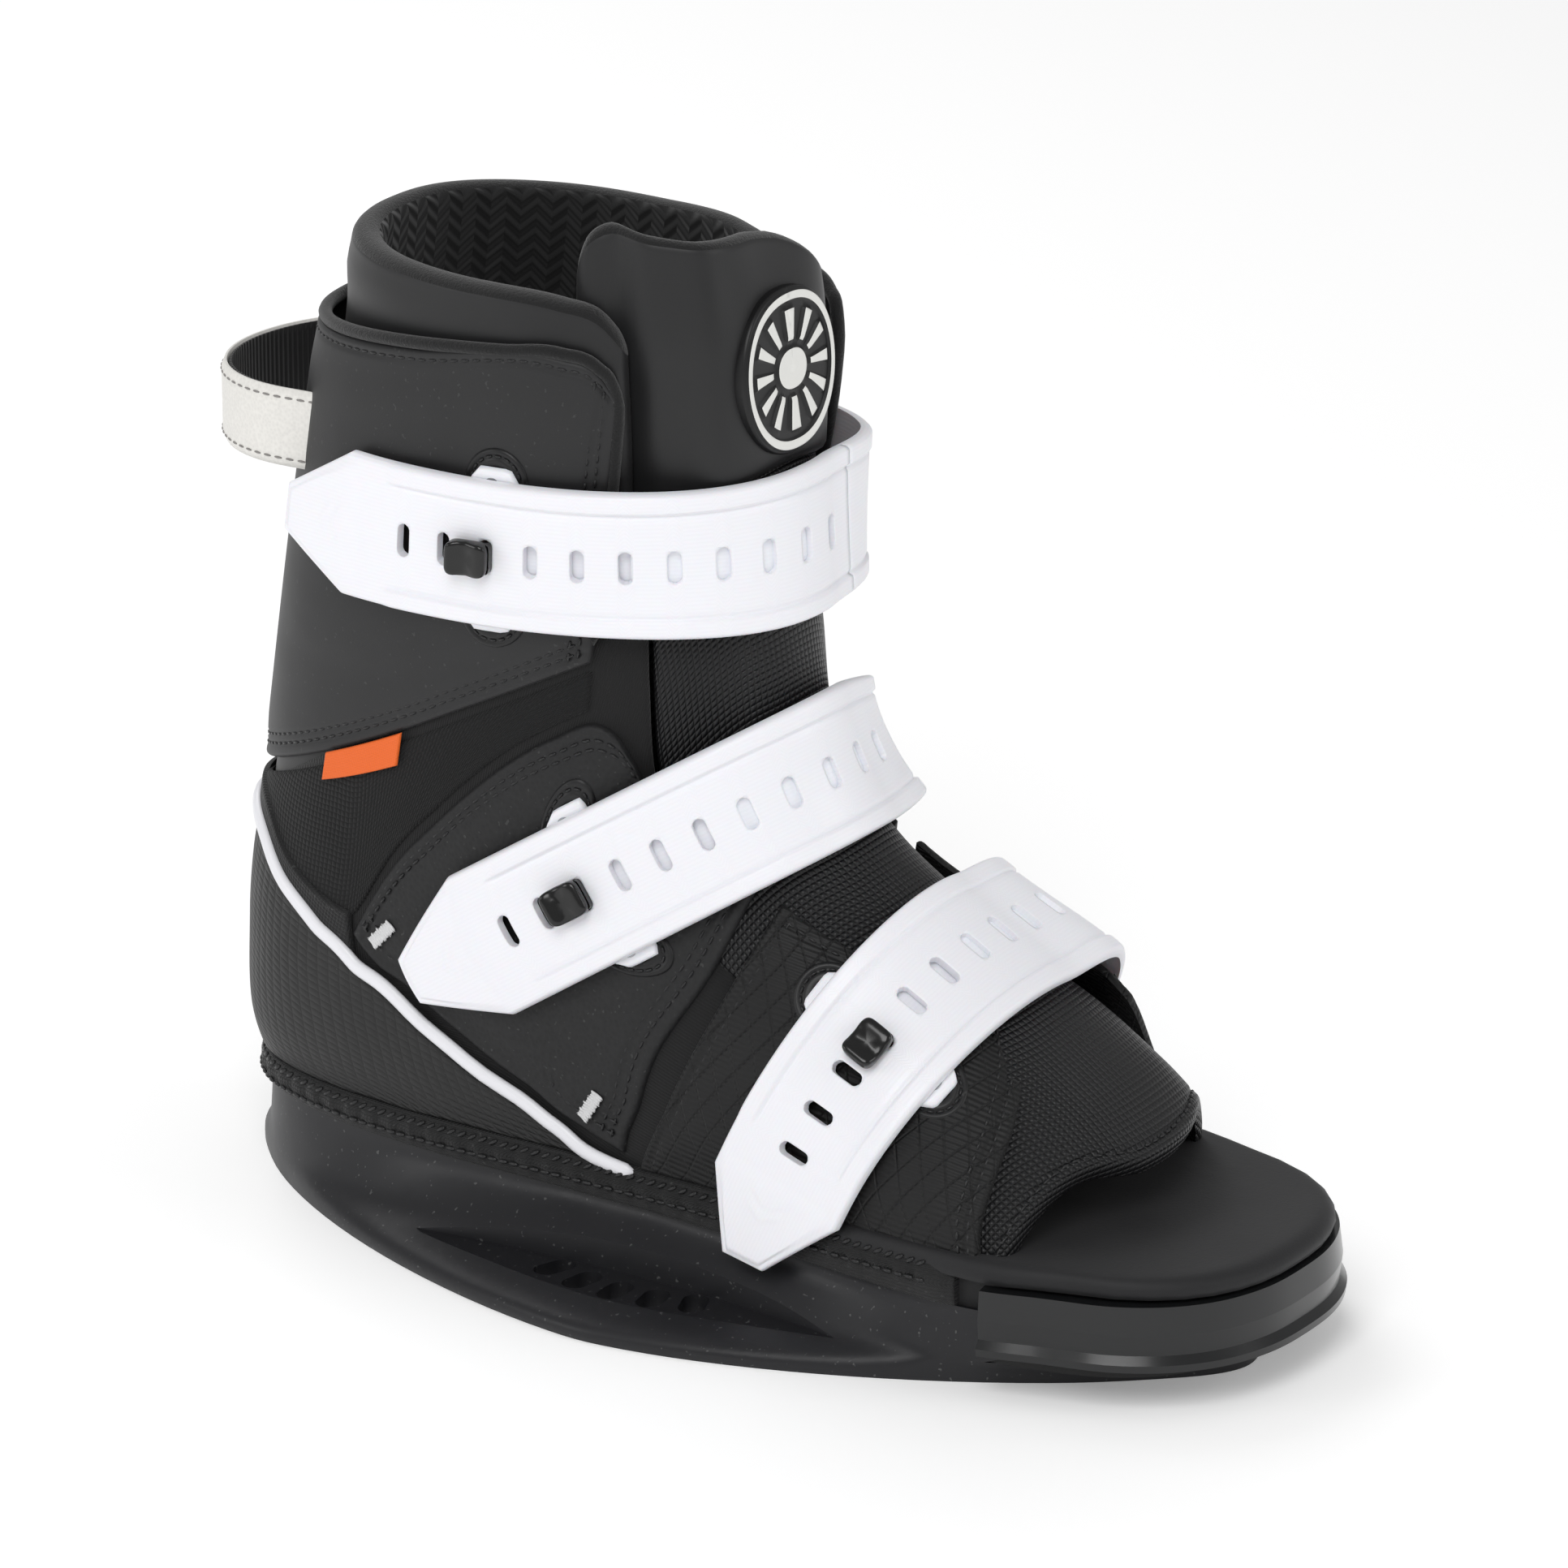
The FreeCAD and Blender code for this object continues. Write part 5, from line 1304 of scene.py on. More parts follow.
@dataclass
class Tongue:
    """Padded tongue: woven below, smooth on top, with the round badge."""

    split: float = 0.862
    pad_lateral: float = 1.14
    pad_medial: float = 0.86
    badge_v: float = 0.957
    flatness: float = 0.92

    def half(self, t: Array) -> Array:
        """Half width of the lower tongue as a fan angle: wide at the toe, narrow at the shin."""
        return 1.46 - 0.49 * smooth(.02, .20, t) - 0.18 * smooth(.56, .70, t)

    def lift_lower(self, phi: Array, v: Array) -> Array:
        """Outer face: under the panels at the sides, a crowned pad along the middle that the
        straps press in, with shoulders at phi 0.52 up the shin."""
        rise = smooth(.50, .62, v)
        pad = rise * (3.0 * (1 - smooth(.36, .60, np.abs(phi))) - .8)
        vamp = (1 - rise) * 2.6 * (1 - smooth(.30, .80, np.abs(phi))) * smooth(0.0, 0.1, v)
        press = 1.9 * pinch(BOOT.at(phi, v)) * (1 - smooth(.5, .9, np.abs(phi)))
        return -2.5 + pad + vamp - press + 0.8 * smooth(0.03, 0.2, v)

    def lower(self) -> list[bpy.types.Object]:
        """Woven vamp and shin pad as one closed form with a rolled toe edge."""
        edge = np.array(VAMP_EDGE)
        front_edge = Track(edge[:, 0], edge[:, 1])

        def place(s: Array, t: Array) -> Array:
            """Across the tongue with s and up it with t, from the arched edge over the toes."""
            phi = self.half(t) * (1 - 2 * s)
            front = front_edge(phi) - .003
            return np.stack([phi, front + (self.split + .008 - front) * t], -1)

        panel = Panel(place, lift=self.lift_lower, wall=4.6, step=2.6, roll=2.4, puff=0.0,
                      seams=((Side.LOW, 4.5),))
        piece = panel.build("woven_tongue", Finishes.BALLISTIC, "tongue_mesh")
        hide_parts("tongue_lower")
        line, out = panel.seam(Side.LOW, 4.5, (.06, .06))
        row = stitches(line, out, 3.2).put("tongue_stitching", [Finishes.THREAD], "tack_thread")
        return [piece, row]

    def lift_top(self, phi: Array, v: Array) -> Array:
        """Outer face of the upper pad: crowned, rolling back towards its upper edge."""
        side = np.abs(phi)
        flat = 2.2 * smooth(0.0, .36, side) * (1 - smooth(.40, .62, side))
        return (0.4 + flat - 3.2 * smooth(.42, .72, side) - 7.5 * smooth(.66, .92, side)
                - 3.0 * smooth(.99, 1.10, v)
                - 1.6 * pinch(BOOT.at(phi, v)) * (1 - smooth(.5, .8, side)))

    def top(self) -> bpy.types.Object:
        """Smooth upper pad: closed, 10 mm thick, its upper edge a half circle with tape."""
        def place(s: Array, t: Array) -> Array:
            """Across the pad with s and up it with t, the upper edge a little bowed."""
            round_off = 1 - np.sqrt(1 - (1 - np.clip(s / .17, 0, 1)) ** 2)
            top_v = 1.080 - .045 * round_off - .095 * smooth(.50, 1.0, s)
            v = self.split + .004 + (top_v - self.split - .004) * t
            wide = self.pad_lateral + self.pad_medial
            return np.stack([self.pad_lateral - wide * s, v], -1)
        s = clustered(96.0, 34, 7.0)
        rise = np.concatenate([[0, .01, .025], np.linspace(.05, 1.0, 34)])
        turn = np.linspace(0, math.pi, 13)[1:-1]
        t = np.concatenate([rise, np.ones(len(turn)), rise[::-1]])
        level = np.concatenate([np.ones(len(rise)), np.cos(turn), -np.ones(len(rise))])
        over = np.concatenate([np.zeros(len(rise)), np.sin(turn), np.zeros(len(rise))])
        a, b = np.meshgrid(s, t, indexing="ij")
        spot = place(a, b)
        run = s * 96.0
        near = np.minimum(run, run[-1] - run)
        draw = np.sqrt(1 - (1 - np.clip(near / 4.5, 0, 1)) ** 2)[:, None] * 0.97 + 0.03
        foot = np.sqrt(1 - (1 - np.clip(t / 0.05, 0, 1)) ** 2)[None] * 0.9 + 0.1
        face = self.lift_top(spot[..., 0], spot[..., 1])
        half = 5.2 - 2.2 * smooth(1.0, 1.10, spot[..., 1])
        lift = face - half + half * level[None] * draw * foot
        v = spot[..., 1] + over[None] * half * 0.9 / 262.0 * draw
        grid = BOOT.skin(spot[..., 0], v, lift)
        piece = surface(grid)
        number = np.zeros(grid.shape[1] - 1, int)
        number[len(rise) + 1:len(rise) + 9] = 1
        number[len(rise) + 9:] = 2
        piece.slots = np.tile(number, grid.shape[0] - 1)
        piece = piece.joined(surface(np.stack([grid[:, -1], grid[:, 0]], 1), 2))
        thing = piece.put("tongue_pad", [Finishes.COLLAR, Finishes.BINDING, Finishes.LINING],
                          "tongue_leather", weld=True)
        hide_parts("tongue_top")
        return thing

    def badge(self) -> bpy.types.Object:
        """Round rubber badge: a black disc with a raised white ring and plain raised rays round a
        white centre. Rings and rays are steps of the height, and the face's own finish marks the
        raised parts white."""
        r = np.concatenate([np.linspace(0, .235, 5), [.25, .27], np.linspace(.33, .355, 2),
                            np.linspace(.40, .70, 7), [.74, .755], [.82, .835, .85],
                            np.linspace(.87, .93, 4), [.945, .96, .975, .99, 1.0]])
        turn = 2 * math.pi * np.arange(193) / 192
        rr, aa = np.meshgrid(r, turn, indexing="ij")
        ray = smooth(.12, .2, np.cos(12 * aa)) * smooth(.345, .36, rr) * (1 - smooth(.74, .755, rr))
        raised = np.maximum.reduce([1 - smooth(.25, .27, rr), ray,
                                    smooth(.835, .85, rr) * (1 - smooth(.945, .96, rr))])
        rim = np.sqrt(np.clip(1 - ((np.clip(rr, .96, 1) - .96) / .04) ** 2, 0, 1))
        height = 1.5 + 0.7 * raised - 0.9 * (1 - rim)
        reach_phi, reach_v = .355, .0775
        phi = -reach_phi * rr * np.sin(aa)
        v = self.badge_v + reach_v * rr * np.cos(aa)
        base = BOOT.skin(phi, v, np.full(phi.shape, 0.7))
        front = BOOT.out(0.0, self.badge_v)
        depth = (base - base[0, 0]) @ front
        base = base - self.flatness * depth[..., None] * front
        top = base + height[..., None] * front
        under = base - (1.4 + 2.2 * (rr * np.sin(aa)) ** 2)[..., None] * front
        piece = shell(top, under, slots=(0, 0))
        cells = (raised[:-1, :-1] + raised[1:, :-1] + raised[1:, 1:] + raised[:-1, 1:]) / 4
        marks = (cells.reshape(-1) > 0.5).astype(int)
        piece.slots = np.concatenate([marks, np.zeros(len(piece.faces) - len(marks), int)])
        thing = piece.put("tongue_disc", [Finishes.BADGE_BACK, Finishes.BADGE_FACE],
                          "badge_rubber", weld=True)
        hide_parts("tongue_badge")
        return thing

    def build(self) -> None:
        """Makes the tongue. The lower parts ride on the boot, the badge on the tongue's body, and the
        upper pad stays where it is made.
        """
        for piece in self.lower():
            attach(piece, "boot")
        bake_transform(self.top())
        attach(self.badge(), "tongue")


# ---- straps ----------------------------------------------------------------------------------
@dataclass
class StrapLine:
    """Places on one strap: s is the length from the bend line to the tip, w the distance across.

    The strap lies in the plane ny y + nz z = d. Angles are those of the bend line, the hook, the
    medial end and the place where the tail turns straight."""

    name: str
    ny: float
    nz: float
    d: float
    bend: float
    hook: float
    medial: float
    straight: float
    tail: float = 99.0
    dip: float = 0.7
    outer_level: float = 3.3

    def __post_init__(self) -> None:
        """Measures the strap's middle line."""
        self.phis = np.linspace(self.medial, self.straight, 81)
        points = self.on_boot(self.phis, np.zeros(81), self.outer_level)
        run = np.concatenate([[0], np.cumsum(np.linalg.norm(np.diff(points, axis=0), axis=1))])
        self.run = run - Track(self.phis, run)(self.bend)
        self.angle = Track(self.run, self.phis)
        self.hook_s = float(Track(self.phis, self.run)(self.hook))

    def section(self, phi: Array, w: Array) -> Array:
        """Section v in which the line w crosses the angle phi, by halving."""
        low, high = np.zeros(phi.shape), np.ones(phi.shape)
        for _ in range(30):
            middle = (low + high) / 2
            p = BOOT.at(phi, middle)
            below = p[..., 1] * self.ny + p[..., 2] * self.nz < self.d + w
            low, high = np.where(below, middle, low), np.where(below, high, middle)
        return low

    def lift(self, phi: Array, v: Array, base: Array) -> Array:
        """The outer strap clears the medial panels' raised edges."""
        raised = np.where(phi < -FLAP_EDGE, flare(phi, v),
                          flare(np.full(phi.shape, -FLAP_EDGE), v) * (1 - smooth(-.66, -.15, phi)))
        ease = 1.9 * (1 - smooth(-1.5, -1.0, phi))
        dip = self.dip * np.exp(-((phi - self.bend) / .14) ** 2)
        return np.where(base < self.outer_level - 0.8, base - dip, base + raised - ease)

    def on_boot(self, phi: Array, w: Array, base: Array | float) -> Array:
        """Points over the boot at a level above it."""
        base = np.broadcast_to(np.asarray(base, float), phi.shape)
        v = self.section(phi, w)
        return BOOT.skin(phi, v, self.lift(phi, v, base))

    def point(self, s: Array, w: Array, base: Array | float) -> Array:
        """Points at (s, w), running on straight behind the last angle."""
        s, w = np.broadcast_arrays(np.asarray(s, float), np.asarray(w, float))
        base = np.broadcast_to(np.asarray(base, float), s.shape)
        last = self.run[-1]
        found = self.on_boot(self.angle(np.minimum(s, last)), w, base)
        if np.all(s <= last):
            return found
        before = self.on_boot(np.full(s.shape, float(self.angle(last - 1.0))), w, base)
        after = self.on_boot(np.full(s.shape, float(self.phis[-1])), w, base)
        on = after + (after - before) * (s - last)[..., None]
        return np.where((s > last)[..., None], on, found)


STRAPS = (
    StrapLine("top", 0.0, 1.0, 195.8, 0.90, 1.383, -1.80, 1.85),
    StrapLine("middle", 0.545, 0.84, 100.5, 0.66, 1.095, -1.62, 1.48),
    StrapLine("toe", 0.91, 0.41, -22.3, 0.28, 0.778, -1.50, 1.50))


@dataclass
class StrapSet:
    """One strap with its under-strap, hook and fixing discs."""

    line: StrapLine
    width: float = 39.5
    wall: float = 2.6
    slot_pitch: float = 12.0
    slot_long: float = 9.0
    slot_wide: float = 3.6
    tip_length: float = 21.0
    tip_half: float = 6.5
    rail: float = 5.2
    stud_offset: float = 18.0
    cut: float = -72.0

    def half_width(self, s: Array) -> Array:
        """Half width: full, tapering straight over the tip, eased at the sewn end."""
        start = self.line.run[0]
        taper = np.clip((s - (self.line.tail - self.tip_length)) / self.tip_length, 0, 1)
        tail = self.width / 2 - (self.width / 2 - self.tip_half) * taper
        root = 1 - .35 * (1 - smooth(start, start + 9.0, s))
        return tail * root

    def stations(self) -> tuple[Array, Array]:
        """Grid lines along the strap and where each slot is.

        Returns:
            Stations s and the slots' centres.
        """
        first = math.ceil((-62.0 - self.line.hook_s) / self.slot_pitch)
        last = math.floor((self.line.tail - 34.0 - self.line.hook_s) / self.slot_pitch)
        centres = self.line.hook_s + self.slot_pitch * np.arange(first, last + 1)
        start, end = self.line.run[0], self.line.tail
        half = self.slot_wide / 2
        local = np.array([-half - .5, -half, -half * .72, -half * .38, 0, half * .38, half * .72,
                          half, half + .5])
        inner = (centres[:, None] + local).ravel()
        rims = np.array([0, .15, .4, .8, 1.3, 2.0, 2.8])
        filler = np.concatenate([np.arange(start + 4, centres[0] - 4, 1.6),
                                 (centres[:-1, None] + np.array([3.4, 4.7, 6.0, 7.3, 8.6])
                                  ).ravel(), np.arange(centres[-1] + 3.4, end - 3.2, 0.75)])
        return (np.sort(np.concatenate([start + rims, inner, filler, end - rims])), centres)

    def rows(self) -> Array:
        """Grid lines across the strap from -1 to 1 of the half width, with a slot's edges."""
        half = self.width / 2
        slot = self.slot_long / 2
        rims = half - np.array([0, .15, .4, .8, 1.3, 2.0, 3.2, 4.4, 4.9, 5.2, 5.5, 5.8, 6.2, 6.9])
        inner = np.array([0, 1.2, 2.2, slot - 1.4, slot - .9, slot - .5, slot, slot + .5, 6.0,
                          7.4, 8.8, 10.2, 11.6])
        up = np.unique(np.round(np.concatenate([inner, rims]), 3))
        return np.concatenate([-up[:0:-1], up]) / half

    def top_height(self, s: Array, w: Array, half: Array) -> Array:
        """Height of the outer face over the underside: the wall, rounded at its edges, with
        raised rails along both sides, a groove beside each, a bevelled tip and a plain raised
        double chevron near it."""
        end = self.line.tail
        taper = np.clip((s - (end - self.tip_length)) / self.tip_length, 0, 1)
        slope = np.where(taper > 0, 0.85, 1.0)
        near = np.minimum((half - np.abs(w)) * slope, np.minimum(end - s, s - self.line.run[0]))
        edge = np.sqrt(1 - (1 - np.clip(near / 1.5, 0, 1)) ** 2)
        long = 1 - smooth(end - 38.0, end - 33.0, s)
        rails = 0.55 * long * (1 - smooth(self.rail - .4, self.rail + .3, near))
        groove = -0.50 * long * hump(near, self.rail + .6, .55)
        tip = smooth(end - 26.0, end - 22.0, s)
        plate = 0.75 * tip * smooth(2.0, 2.9, near)
        x = s - (end - 17.0)
        chevron = (hump(x + .55 * np.abs(w), 2.6, .8) + hump(x + .55 * np.abs(w), -1.2, .8))
        chevron = 0.3 * np.clip(chevron, 0, 1) * (1 - smooth(5.0, 6.0, np.abs(w)))
        return 0.35 + (self.wall - 0.35) * edge + rails + groove + plate + chevron

    def strap(self) -> bpy.types.Object:
        """Moulded strap with true slots, whose ends are rounded, and a thin web behind the slots
        ahead of the bend. The medial stretch is a piece of its own, riding on the boot; the rest
        stays where it is made."""
        s, centres = self.stations()
        a, b = np.meshgrid(s, self.rows(), indexing="ij")
        full = self.width / 2
        w = b * full
        half = self.half_width(a)
        squeeze = smooth(6.5, full, np.abs(w)) * (half / full - 1) + 1
        ahead = self.line.tail - self.tip_length
        w = np.where(a > ahead - 3, b * half, w * squeeze)
        gap = a[:, :1] - centres[None]
        nearest = np.argmin(np.abs(gap), axis=1)
        offset = gap[np.arange(len(s)), nearest][:, None] * np.ones((1, w.shape[1]))
        r = self.slot_wide / 2
        reach = self.slot_long / 2 - r
        beyond = np.clip(np.abs(w) - reach, 0, r)
        in_row = (np.abs(offset) < r + .3) & (np.abs(w) < self.slot_long / 2 + .3)
        width_here = np.sqrt(np.maximum(r * r - beyond**2, 0.15))
        a = np.where(in_row, a + offset * (width_here / r - 1), a)
        middle_s = (s[1:] + s[:-1]) / 2
        near = np.abs(middle_s[:, None] - centres[None]).min(1) < r
        hole = near[:, None] & (np.abs(self.rows()[1:] + self.rows()[:-1])[None] / 2 * full
                                < self.slot_long / 2)
        level = np.full(a.shape, self.line.outer_level)
        top = self.line.point(a, w, level + self.top_height(a, w, half))
        under = self.line.point(a, w, level)
        cut = int(np.searchsorted(s, self.cut))
        piece = shell(top[cut:], under[cut:], ~hole[cut:])
        rear = shell(top[:cut + 1], under[:cut + 1]).put(
            f"strap_{self.line.name}_medial", [Finishes.STRAP], "strap_plastic")
        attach(rear, "boot")
        web_s, web_w = np.meshgrid(np.linspace(-64.0, -3.0, 62), np.linspace(-6, 6, 5),
                                   indexing="ij")
        web = shell(self.line.point(web_s, web_w, self.line.outer_level + 1.1),
                    self.line.point(web_s, web_w, self.line.outer_level + 0.3))
        thing = piece.joined(web).put(f"strap_{self.line.name}", [Finishes.STRAP],
                                      "strap_plastic")
        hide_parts(f"strap_{self.line.name}_band", f"strap_{self.line.name}_tail")
        near_hinge = self.line.point(np.array([-5.0, 5.0]), np.zeros(2), self.line.outer_level)
        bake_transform(thing)
        return thing

    def under_strap(self) -> bpy.types.Object:
        """White strap beneath: a cross at the hook, a narrow tongue towards the middle."""
        low = float(Track(self.line.phis, self.line.run)(-.60))
        high = self.line.hook_s + 9.0
        s = low + (high - low) * clustered(high - low, 70, 3.0)
        b = np.concatenate([[-1, -.985, -.95, -.9], np.linspace(-.8, .8, 13), [.9, .95, .985, 1]])
        a, c = np.meshgrid(s, b, indexing="ij")
        spread = 1 - smooth(4.0, 11.0, np.abs(a - self.line.hook_s))
        tip = 1 - smooth(low, low + 10.0, a)
        half = 13.0 * (1 - .45 * tip) + 9.5 * spread
        near = np.minimum(half * (1 - np.abs(c)), np.minimum(a - low, high - a))
        edge = np.sqrt(1 - (1 - np.clip(near / 1.0, 0, 1)) ** 2)
        under = self.line.point(a, half * c, np.full(a.shape, 1.3))
        top = self.line.point(a, half * c, 1.45 + 1.4 * edge)
        thing = shell(top, under).put(f"under_strap_{self.line.name}", [Finishes.STRAP],
                                      "strap_plastic")
        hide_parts(f"understrap_{self.line.name}")
        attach(thing, "boot")
        return thing

    def local_frame(self) -> tuple[Array, Array, Array, Array]:
        """Origin and directions (to the tip, across, outwards) at the hook."""
        s = self.line.hook_s
        line = self.line
        along = unit(line.point(s + .5, 0.0, 3.3) - line.point(s - .5, 0.0, 3.3))
        across = unit(line.point(s, .5, 3.3) - line.point(s, -.5, 3.3))
        out = unit(np.cross(along, across))
        lifted = line.point(s, 0.0, 4.3) - line.point(s, 0.0, 3.3)
        out = out * np.sign(np.sum(out * lifted))
        across = unit(across - out * np.sum(across * out))
        return line.point(s, 0.0, 3.3), along, across, out

    def hook(self) -> bpy.types.Object:
        """Saddle hook: a superellipsoid 11 by 9.6 by 4 mm, dipped in the middle, on a neck."""
        origin, along, across, out = self.local_frame()
        lat = np.linspace(-math.pi / 2, math.pi / 2, 25)
        lon = np.linspace(-math.pi, math.pi, 49)
        a, b = np.meshgrid(lat, lon, indexing="ij")

        def power(x: Array, n: float) -> Array:
            """Signed power."""
            return np.sign(x) * np.abs(x) ** n
        flat = power(np.cos(a), .35)
        x = 5.7 * flat * power(np.cos(b), .42)
        y = 4.8 * flat * power(np.sin(b), .42)
        z = 2.0 * power(np.sin(a), .45)
        z = z - 1.1 * hump(x, 0.6, 2.4) * (z > 0) + 0.5 * smooth(1, 5, x) * (z > 0)
        grid = (origin + (x + 3.9)[..., None] * along + y[..., None] * across
                + (z + 5.3)[..., None] * out)
        body = surface(grid)
        ring = np.linspace(0, 2 * math.pi, 25)
        neck = np.stack([2.0 * power(np.cos(ring), .4), 4.2 * power(np.sin(ring), .4)], -1)
        levels = np.array([-0.3, 4.6])
        tube = (origin + neck[None, :, :1] * along + neck[None, :, 1:] * across
                + levels[:, None, None] * out)
        piece = body.joined(surface(tube)).put(f"hook_{self.line.name}_saddle", [Finishes.HOOK],
                                               "hook_plastic", weld=True)
        work = bmesh.new()
        work.from_mesh(piece.data)
        bmesh.ops.recalc_face_normals(work, faces=work.faces)
        work.to_mesh(piece.data)
        work.free()
        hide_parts(f"hook_{self.line.name}")
        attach(piece, "boot")
        return piece

    def discs(self) -> list[Piece]:
        """Two round fixing discs: a domed ring with a groove and a low boss, as a function of
        radius, laid on the boot under the strap."""
        made = []
        r = np.array([0, 1.2, 2.4, 3.2, 3.6, 3.9, 4.3, 5.0, 6.0, 6.6, 6.9, 7.3, 7.7, 8.1, 8.6,
                      9.0, 9.3, 9.5])
        z = np.array([1.2, 1.2, 1.15, 1.0, .6, .5, .7, 1.05, 1.15, 1.1, .75, .65, .75, 1.0, 1.05,
                      .9, .6, .1])
        turn = 2 * math.pi * np.arange(41) / 40
        rr, aa = np.meshgrid(r, turn, indexing="ij")
        zz = np.repeat(z[:, None], 41, axis=1)
        for w in (-self.stud_offset, self.stud_offset):
            s = self.line.hook_s + rr * np.cos(aa)
            top = self.line.point(s, w + rr * np.sin(aa), 0.15 + zz)
            made.append(shell(top, self.line.point(s, w + rr * np.sin(aa), np.zeros(s.shape))))
        return made

    def disc_stitches(self) -> list[Piece]:
        """Ring of stitches round each disc."""
        turn = 2 * math.pi * np.arange(97) / 96
        made = []
        for w in (-self.stud_offset, self.stud_offset):
            s = self.line.hook_s + 7.3 * np.cos(turn)
            line = self.line.point(s, w + 7.3 * np.sin(turn), 0.95)
            out = self.line.point(s, w + 7.3 * np.sin(turn), 1.95) - line
            made.append(stitches(line, out, 2.6, (2.0, .8, .7)))
        return made


def fixings(sets: Sequence[StrapSet]) -> None:
    """All the discs as one piece, and their stitches as another."""
    groups = (([p for one in sets for p in one.discs()], "fixing_discs", Finishes.DISC,
               "anchor_plastic"),
              ([p for one in sets for p in one.disc_stitches()], "fixing_stitching",
               Finishes.THREAD, "tack_thread"))
    for parts, name, finish, slot in groups:
        thing = merged(parts).put(name, [finish], slot, weld=name == "fixing_discs")
        if name == "fixing_discs":
            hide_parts("anchor_discs")
        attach(thing, "boot")


# ---- pull loop -------------------------------------------------------------------------------
@dataclass
class PullLoop:
    """Finger loop behind the cuff: white leather outside, ribbed webbing inside."""

    height: float = 212.0
    start_y: float = 118.0
    half_x: float = 35.0
    reach: float = 34.5
    band: float = 21.0
    tab_root_y: float = 106.0
    stitch_row: float = 8.2

    def ring(self, out: float, width: float, rows: int = 9) -> tuple[Array, Array]:
        """Half ellipse about the cuff, running on straight to the cuff at both ends.

        Args:
            out: Distance outside the loop's inner face.
            width: Width of the band.
            rows: Grid lines across.

        Returns:
            Grid of points and the heights' fractions.
        """
        turn = np.linspace(0, math.pi, 90)
        x = -(self.half_x + out) * np.cos(turn)
        y = self.start_y + (self.reach + out) * np.sin(turn)
        lead = np.linspace(self.tab_root_y, self.start_y, 8)[:-1]
        draw = 0.5 * (1 - smooth(self.tab_root_y, self.start_y, lead))
        x = np.concatenate([-(self.half_x + out) + draw, x, ((self.half_x + out) - draw)[::-1]])
        y = np.concatenate([lead, y, lead[::-1]])
        t = np.linspace(-.5, .5, rows)
        sag = 1.4 * np.sin(math.pi * np.linspace(0, 1, len(x))) ** 2
        grid = np.stack([np.repeat(x[:, None], rows, 1), np.repeat(y[:, None], rows, 1),
                         self.height + width * t[None] - sag[:, None]], -1)
        return grid, t

    def layer(self, name: str, inner: float, wall: float, width: float, finish: Finish,
              slot: str) -> bpy.types.Object:
        """One layer of the loop, its edges a little rolled."""
        top, t = self.ring(inner + wall, width, 11)
        under, _ = self.ring(inner, width, 11)
        roll = np.sqrt(np.clip(1 - (np.clip(np.abs(t) - .44, 0, 1) / .062) ** 2, 0, 1))
        roll = 0.2 + 0.8 * roll
        top = under + (top - under) * roll[None, :, None]
        return shell(top, under).put(name, [finish], slot)

    def build(self) -> None:
        """Makes the loop's face, webbing and stitching where they are drawn."""
        face = self.layer("pull_loop_face", 1.3, 1.4, self.band, Finishes.LOOP, "loop_face")
        lining = self.layer("pull_loop_webbing", 0.0, 1.25, self.band - .8, Finishes.WEBBING,
                            "loop_lining")
        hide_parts("pull_loop", "pull_loop_tabs")
        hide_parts("pull_loop_lining")
        rows = []
        for offset in (-self.stitch_row, self.stitch_row):
            grid, _ = self.ring(2.75, 2 * offset, 3)
            line = grid[:, 2]
            flat, _ = self.ring(3.75, 2 * offset, 3)
            rows.append(stitches(line, flat[:, 2] - line, 3.6, (2.6, .7, .6)))
        thread = merged(rows).put("pull_loop_stitching", [Finishes.GREY_THREAD], "tack_thread")
        for piece in (face, lining, thread):
            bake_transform(piece)


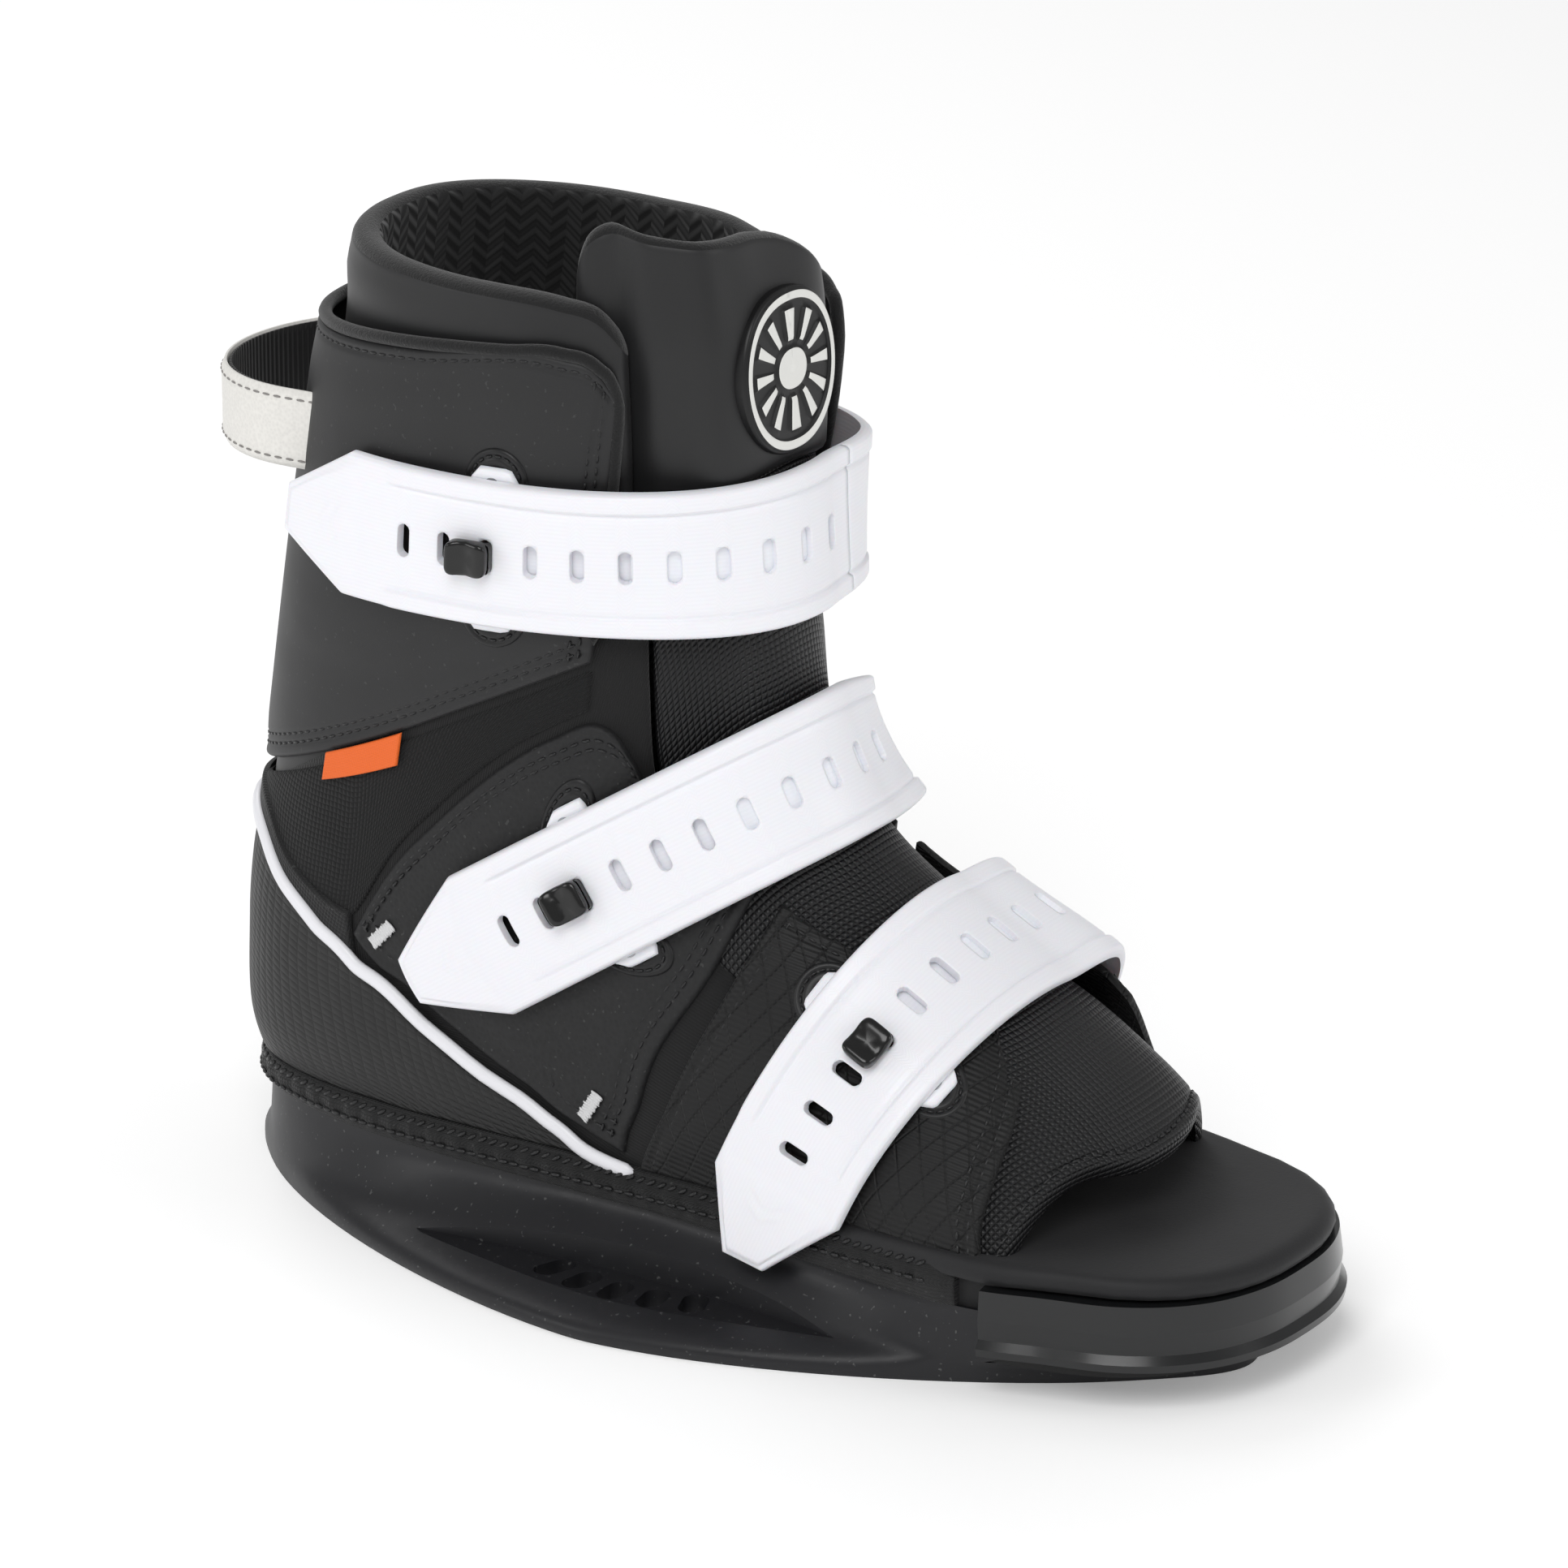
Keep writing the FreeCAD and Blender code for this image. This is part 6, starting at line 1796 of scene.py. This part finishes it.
# ---- studio ----------------------------------------------------------------------------------
@dataclass
class Studio:
    """Plain pale floor, soft light and the camera."""

    target: tuple[float, float, float] = (.003, -.010, .128)
    distance: float = 2.3
    turn_deg: float = 56.5
    rise_deg: float = 20.0
    lens: float = 206.6
    world_strength: float = 0.40
    floor_glow: float = 0.22

    def camera(self) -> None:
        """Camera on the lateral front side, with a long lens."""
        turn, rise = math.radians(self.turn_deg), math.radians(self.rise_deg)
        back = Vector((-math.sin(turn) * math.cos(rise), -math.cos(turn) * math.cos(rise),
                       math.sin(rise)))
        data = bpy.data.cameras.new("camera")
        data.lens, data.sensor_width = self.lens, 36.0
        data.clip_start, data.clip_end = 0.05, 60.0
        thing = bpy.data.objects.new("camera", data)
        thing.location = Vector(self.target) + back * self.distance
        thing.rotation_mode = "QUATERNION"
        thing.rotation_quaternion = (-back).to_track_quat("-Z", "Y")
        bpy.context.scene.collection.objects.link(thing)
        bpy.context.scene.camera = thing

    def floor(self) -> None:
        """Pale matt floor."""
        side = 12.0
        mesh = bpy.data.meshes.new("floor")
        mesh.from_pydata([(-side, -side, 0), (side, -side, 0), (side, side, 0),
                          (-side, side, 0)], [], [(0, 1, 2, 3)])
        thing = bpy.data.objects.new("floor", mesh)
        bpy.context.scene.collection.objects.link(thing)
        material = bpy.data.materials.new("pale_paper")
        material.use_nodes = True
        shader = material.node_tree.nodes["Principled BSDF"]
        shader.inputs["Base Color"].default_value = linear("#fafafa")
        shader.inputs["Emission Color"].default_value = linear("#ffffff")
        shader.inputs["Emission Strength"].default_value = self.floor_glow
        shader.inputs["Roughness"].default_value = 0.9
        mesh.materials.append(material)

    def lamp(self, name: str, place: tuple[float, float, float], size: float, power: float
             ) -> None:
        """Soft square lamp aimed at the boot."""
        data = bpy.data.lights.new(name, "AREA")
        data.size, data.energy = size, power
        thing = bpy.data.objects.new(name, data)
        thing.location = place
        aim = Vector(self.target) - Vector(place)
        thing.rotation_euler = aim.to_track_quat("-Z", "Y").to_euler()
        bpy.context.scene.collection.objects.link(thing)

    def build(self) -> None:
        """Floor, lights, world and camera."""
        self.floor()
        for name, place, size, power in (("key", (-1.5, -0.6, 1.7), 1.1, 20.0),
                                         ("front", (0.5, -2.0, 1.0), 1.0, 8.0),
                                         ("back", (0.7, 1.4, 1.6), 1.2, 12.0),
                                         ("side", (-1.6, 1.3, 0.8), 0.8, 6.0)):
            self.lamp(name, place, size, power)
        world = bpy.data.worlds.new("studio")
        world.use_nodes = True
        world.node_tree.nodes["Background"].inputs[0].default_value = linear("#ffffff")
        world.node_tree.nodes["Background"].inputs[1].default_value = self.world_strength
        bpy.context.scene.world = world
        bpy.context.scene.view_settings.view_transform = "Standard"
        self.camera()


def main() -> None:
    """Builds every sub-assembly in order."""
    logging.basicConfig(level=logging.INFO, format="%(message)s")
    Base().build()
    Upper().build()
    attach(Liner().collar(), "boot")
    Tongue().build()
    sets = [StrapSet(line) for line in STRAPS]
    for one in sets:
        one.strap()
        one.under_strap()
        one.hook()
    fixings(sets)
    PullLoop().build()
    Studio().build()


if __name__ == "__main__":
    main()
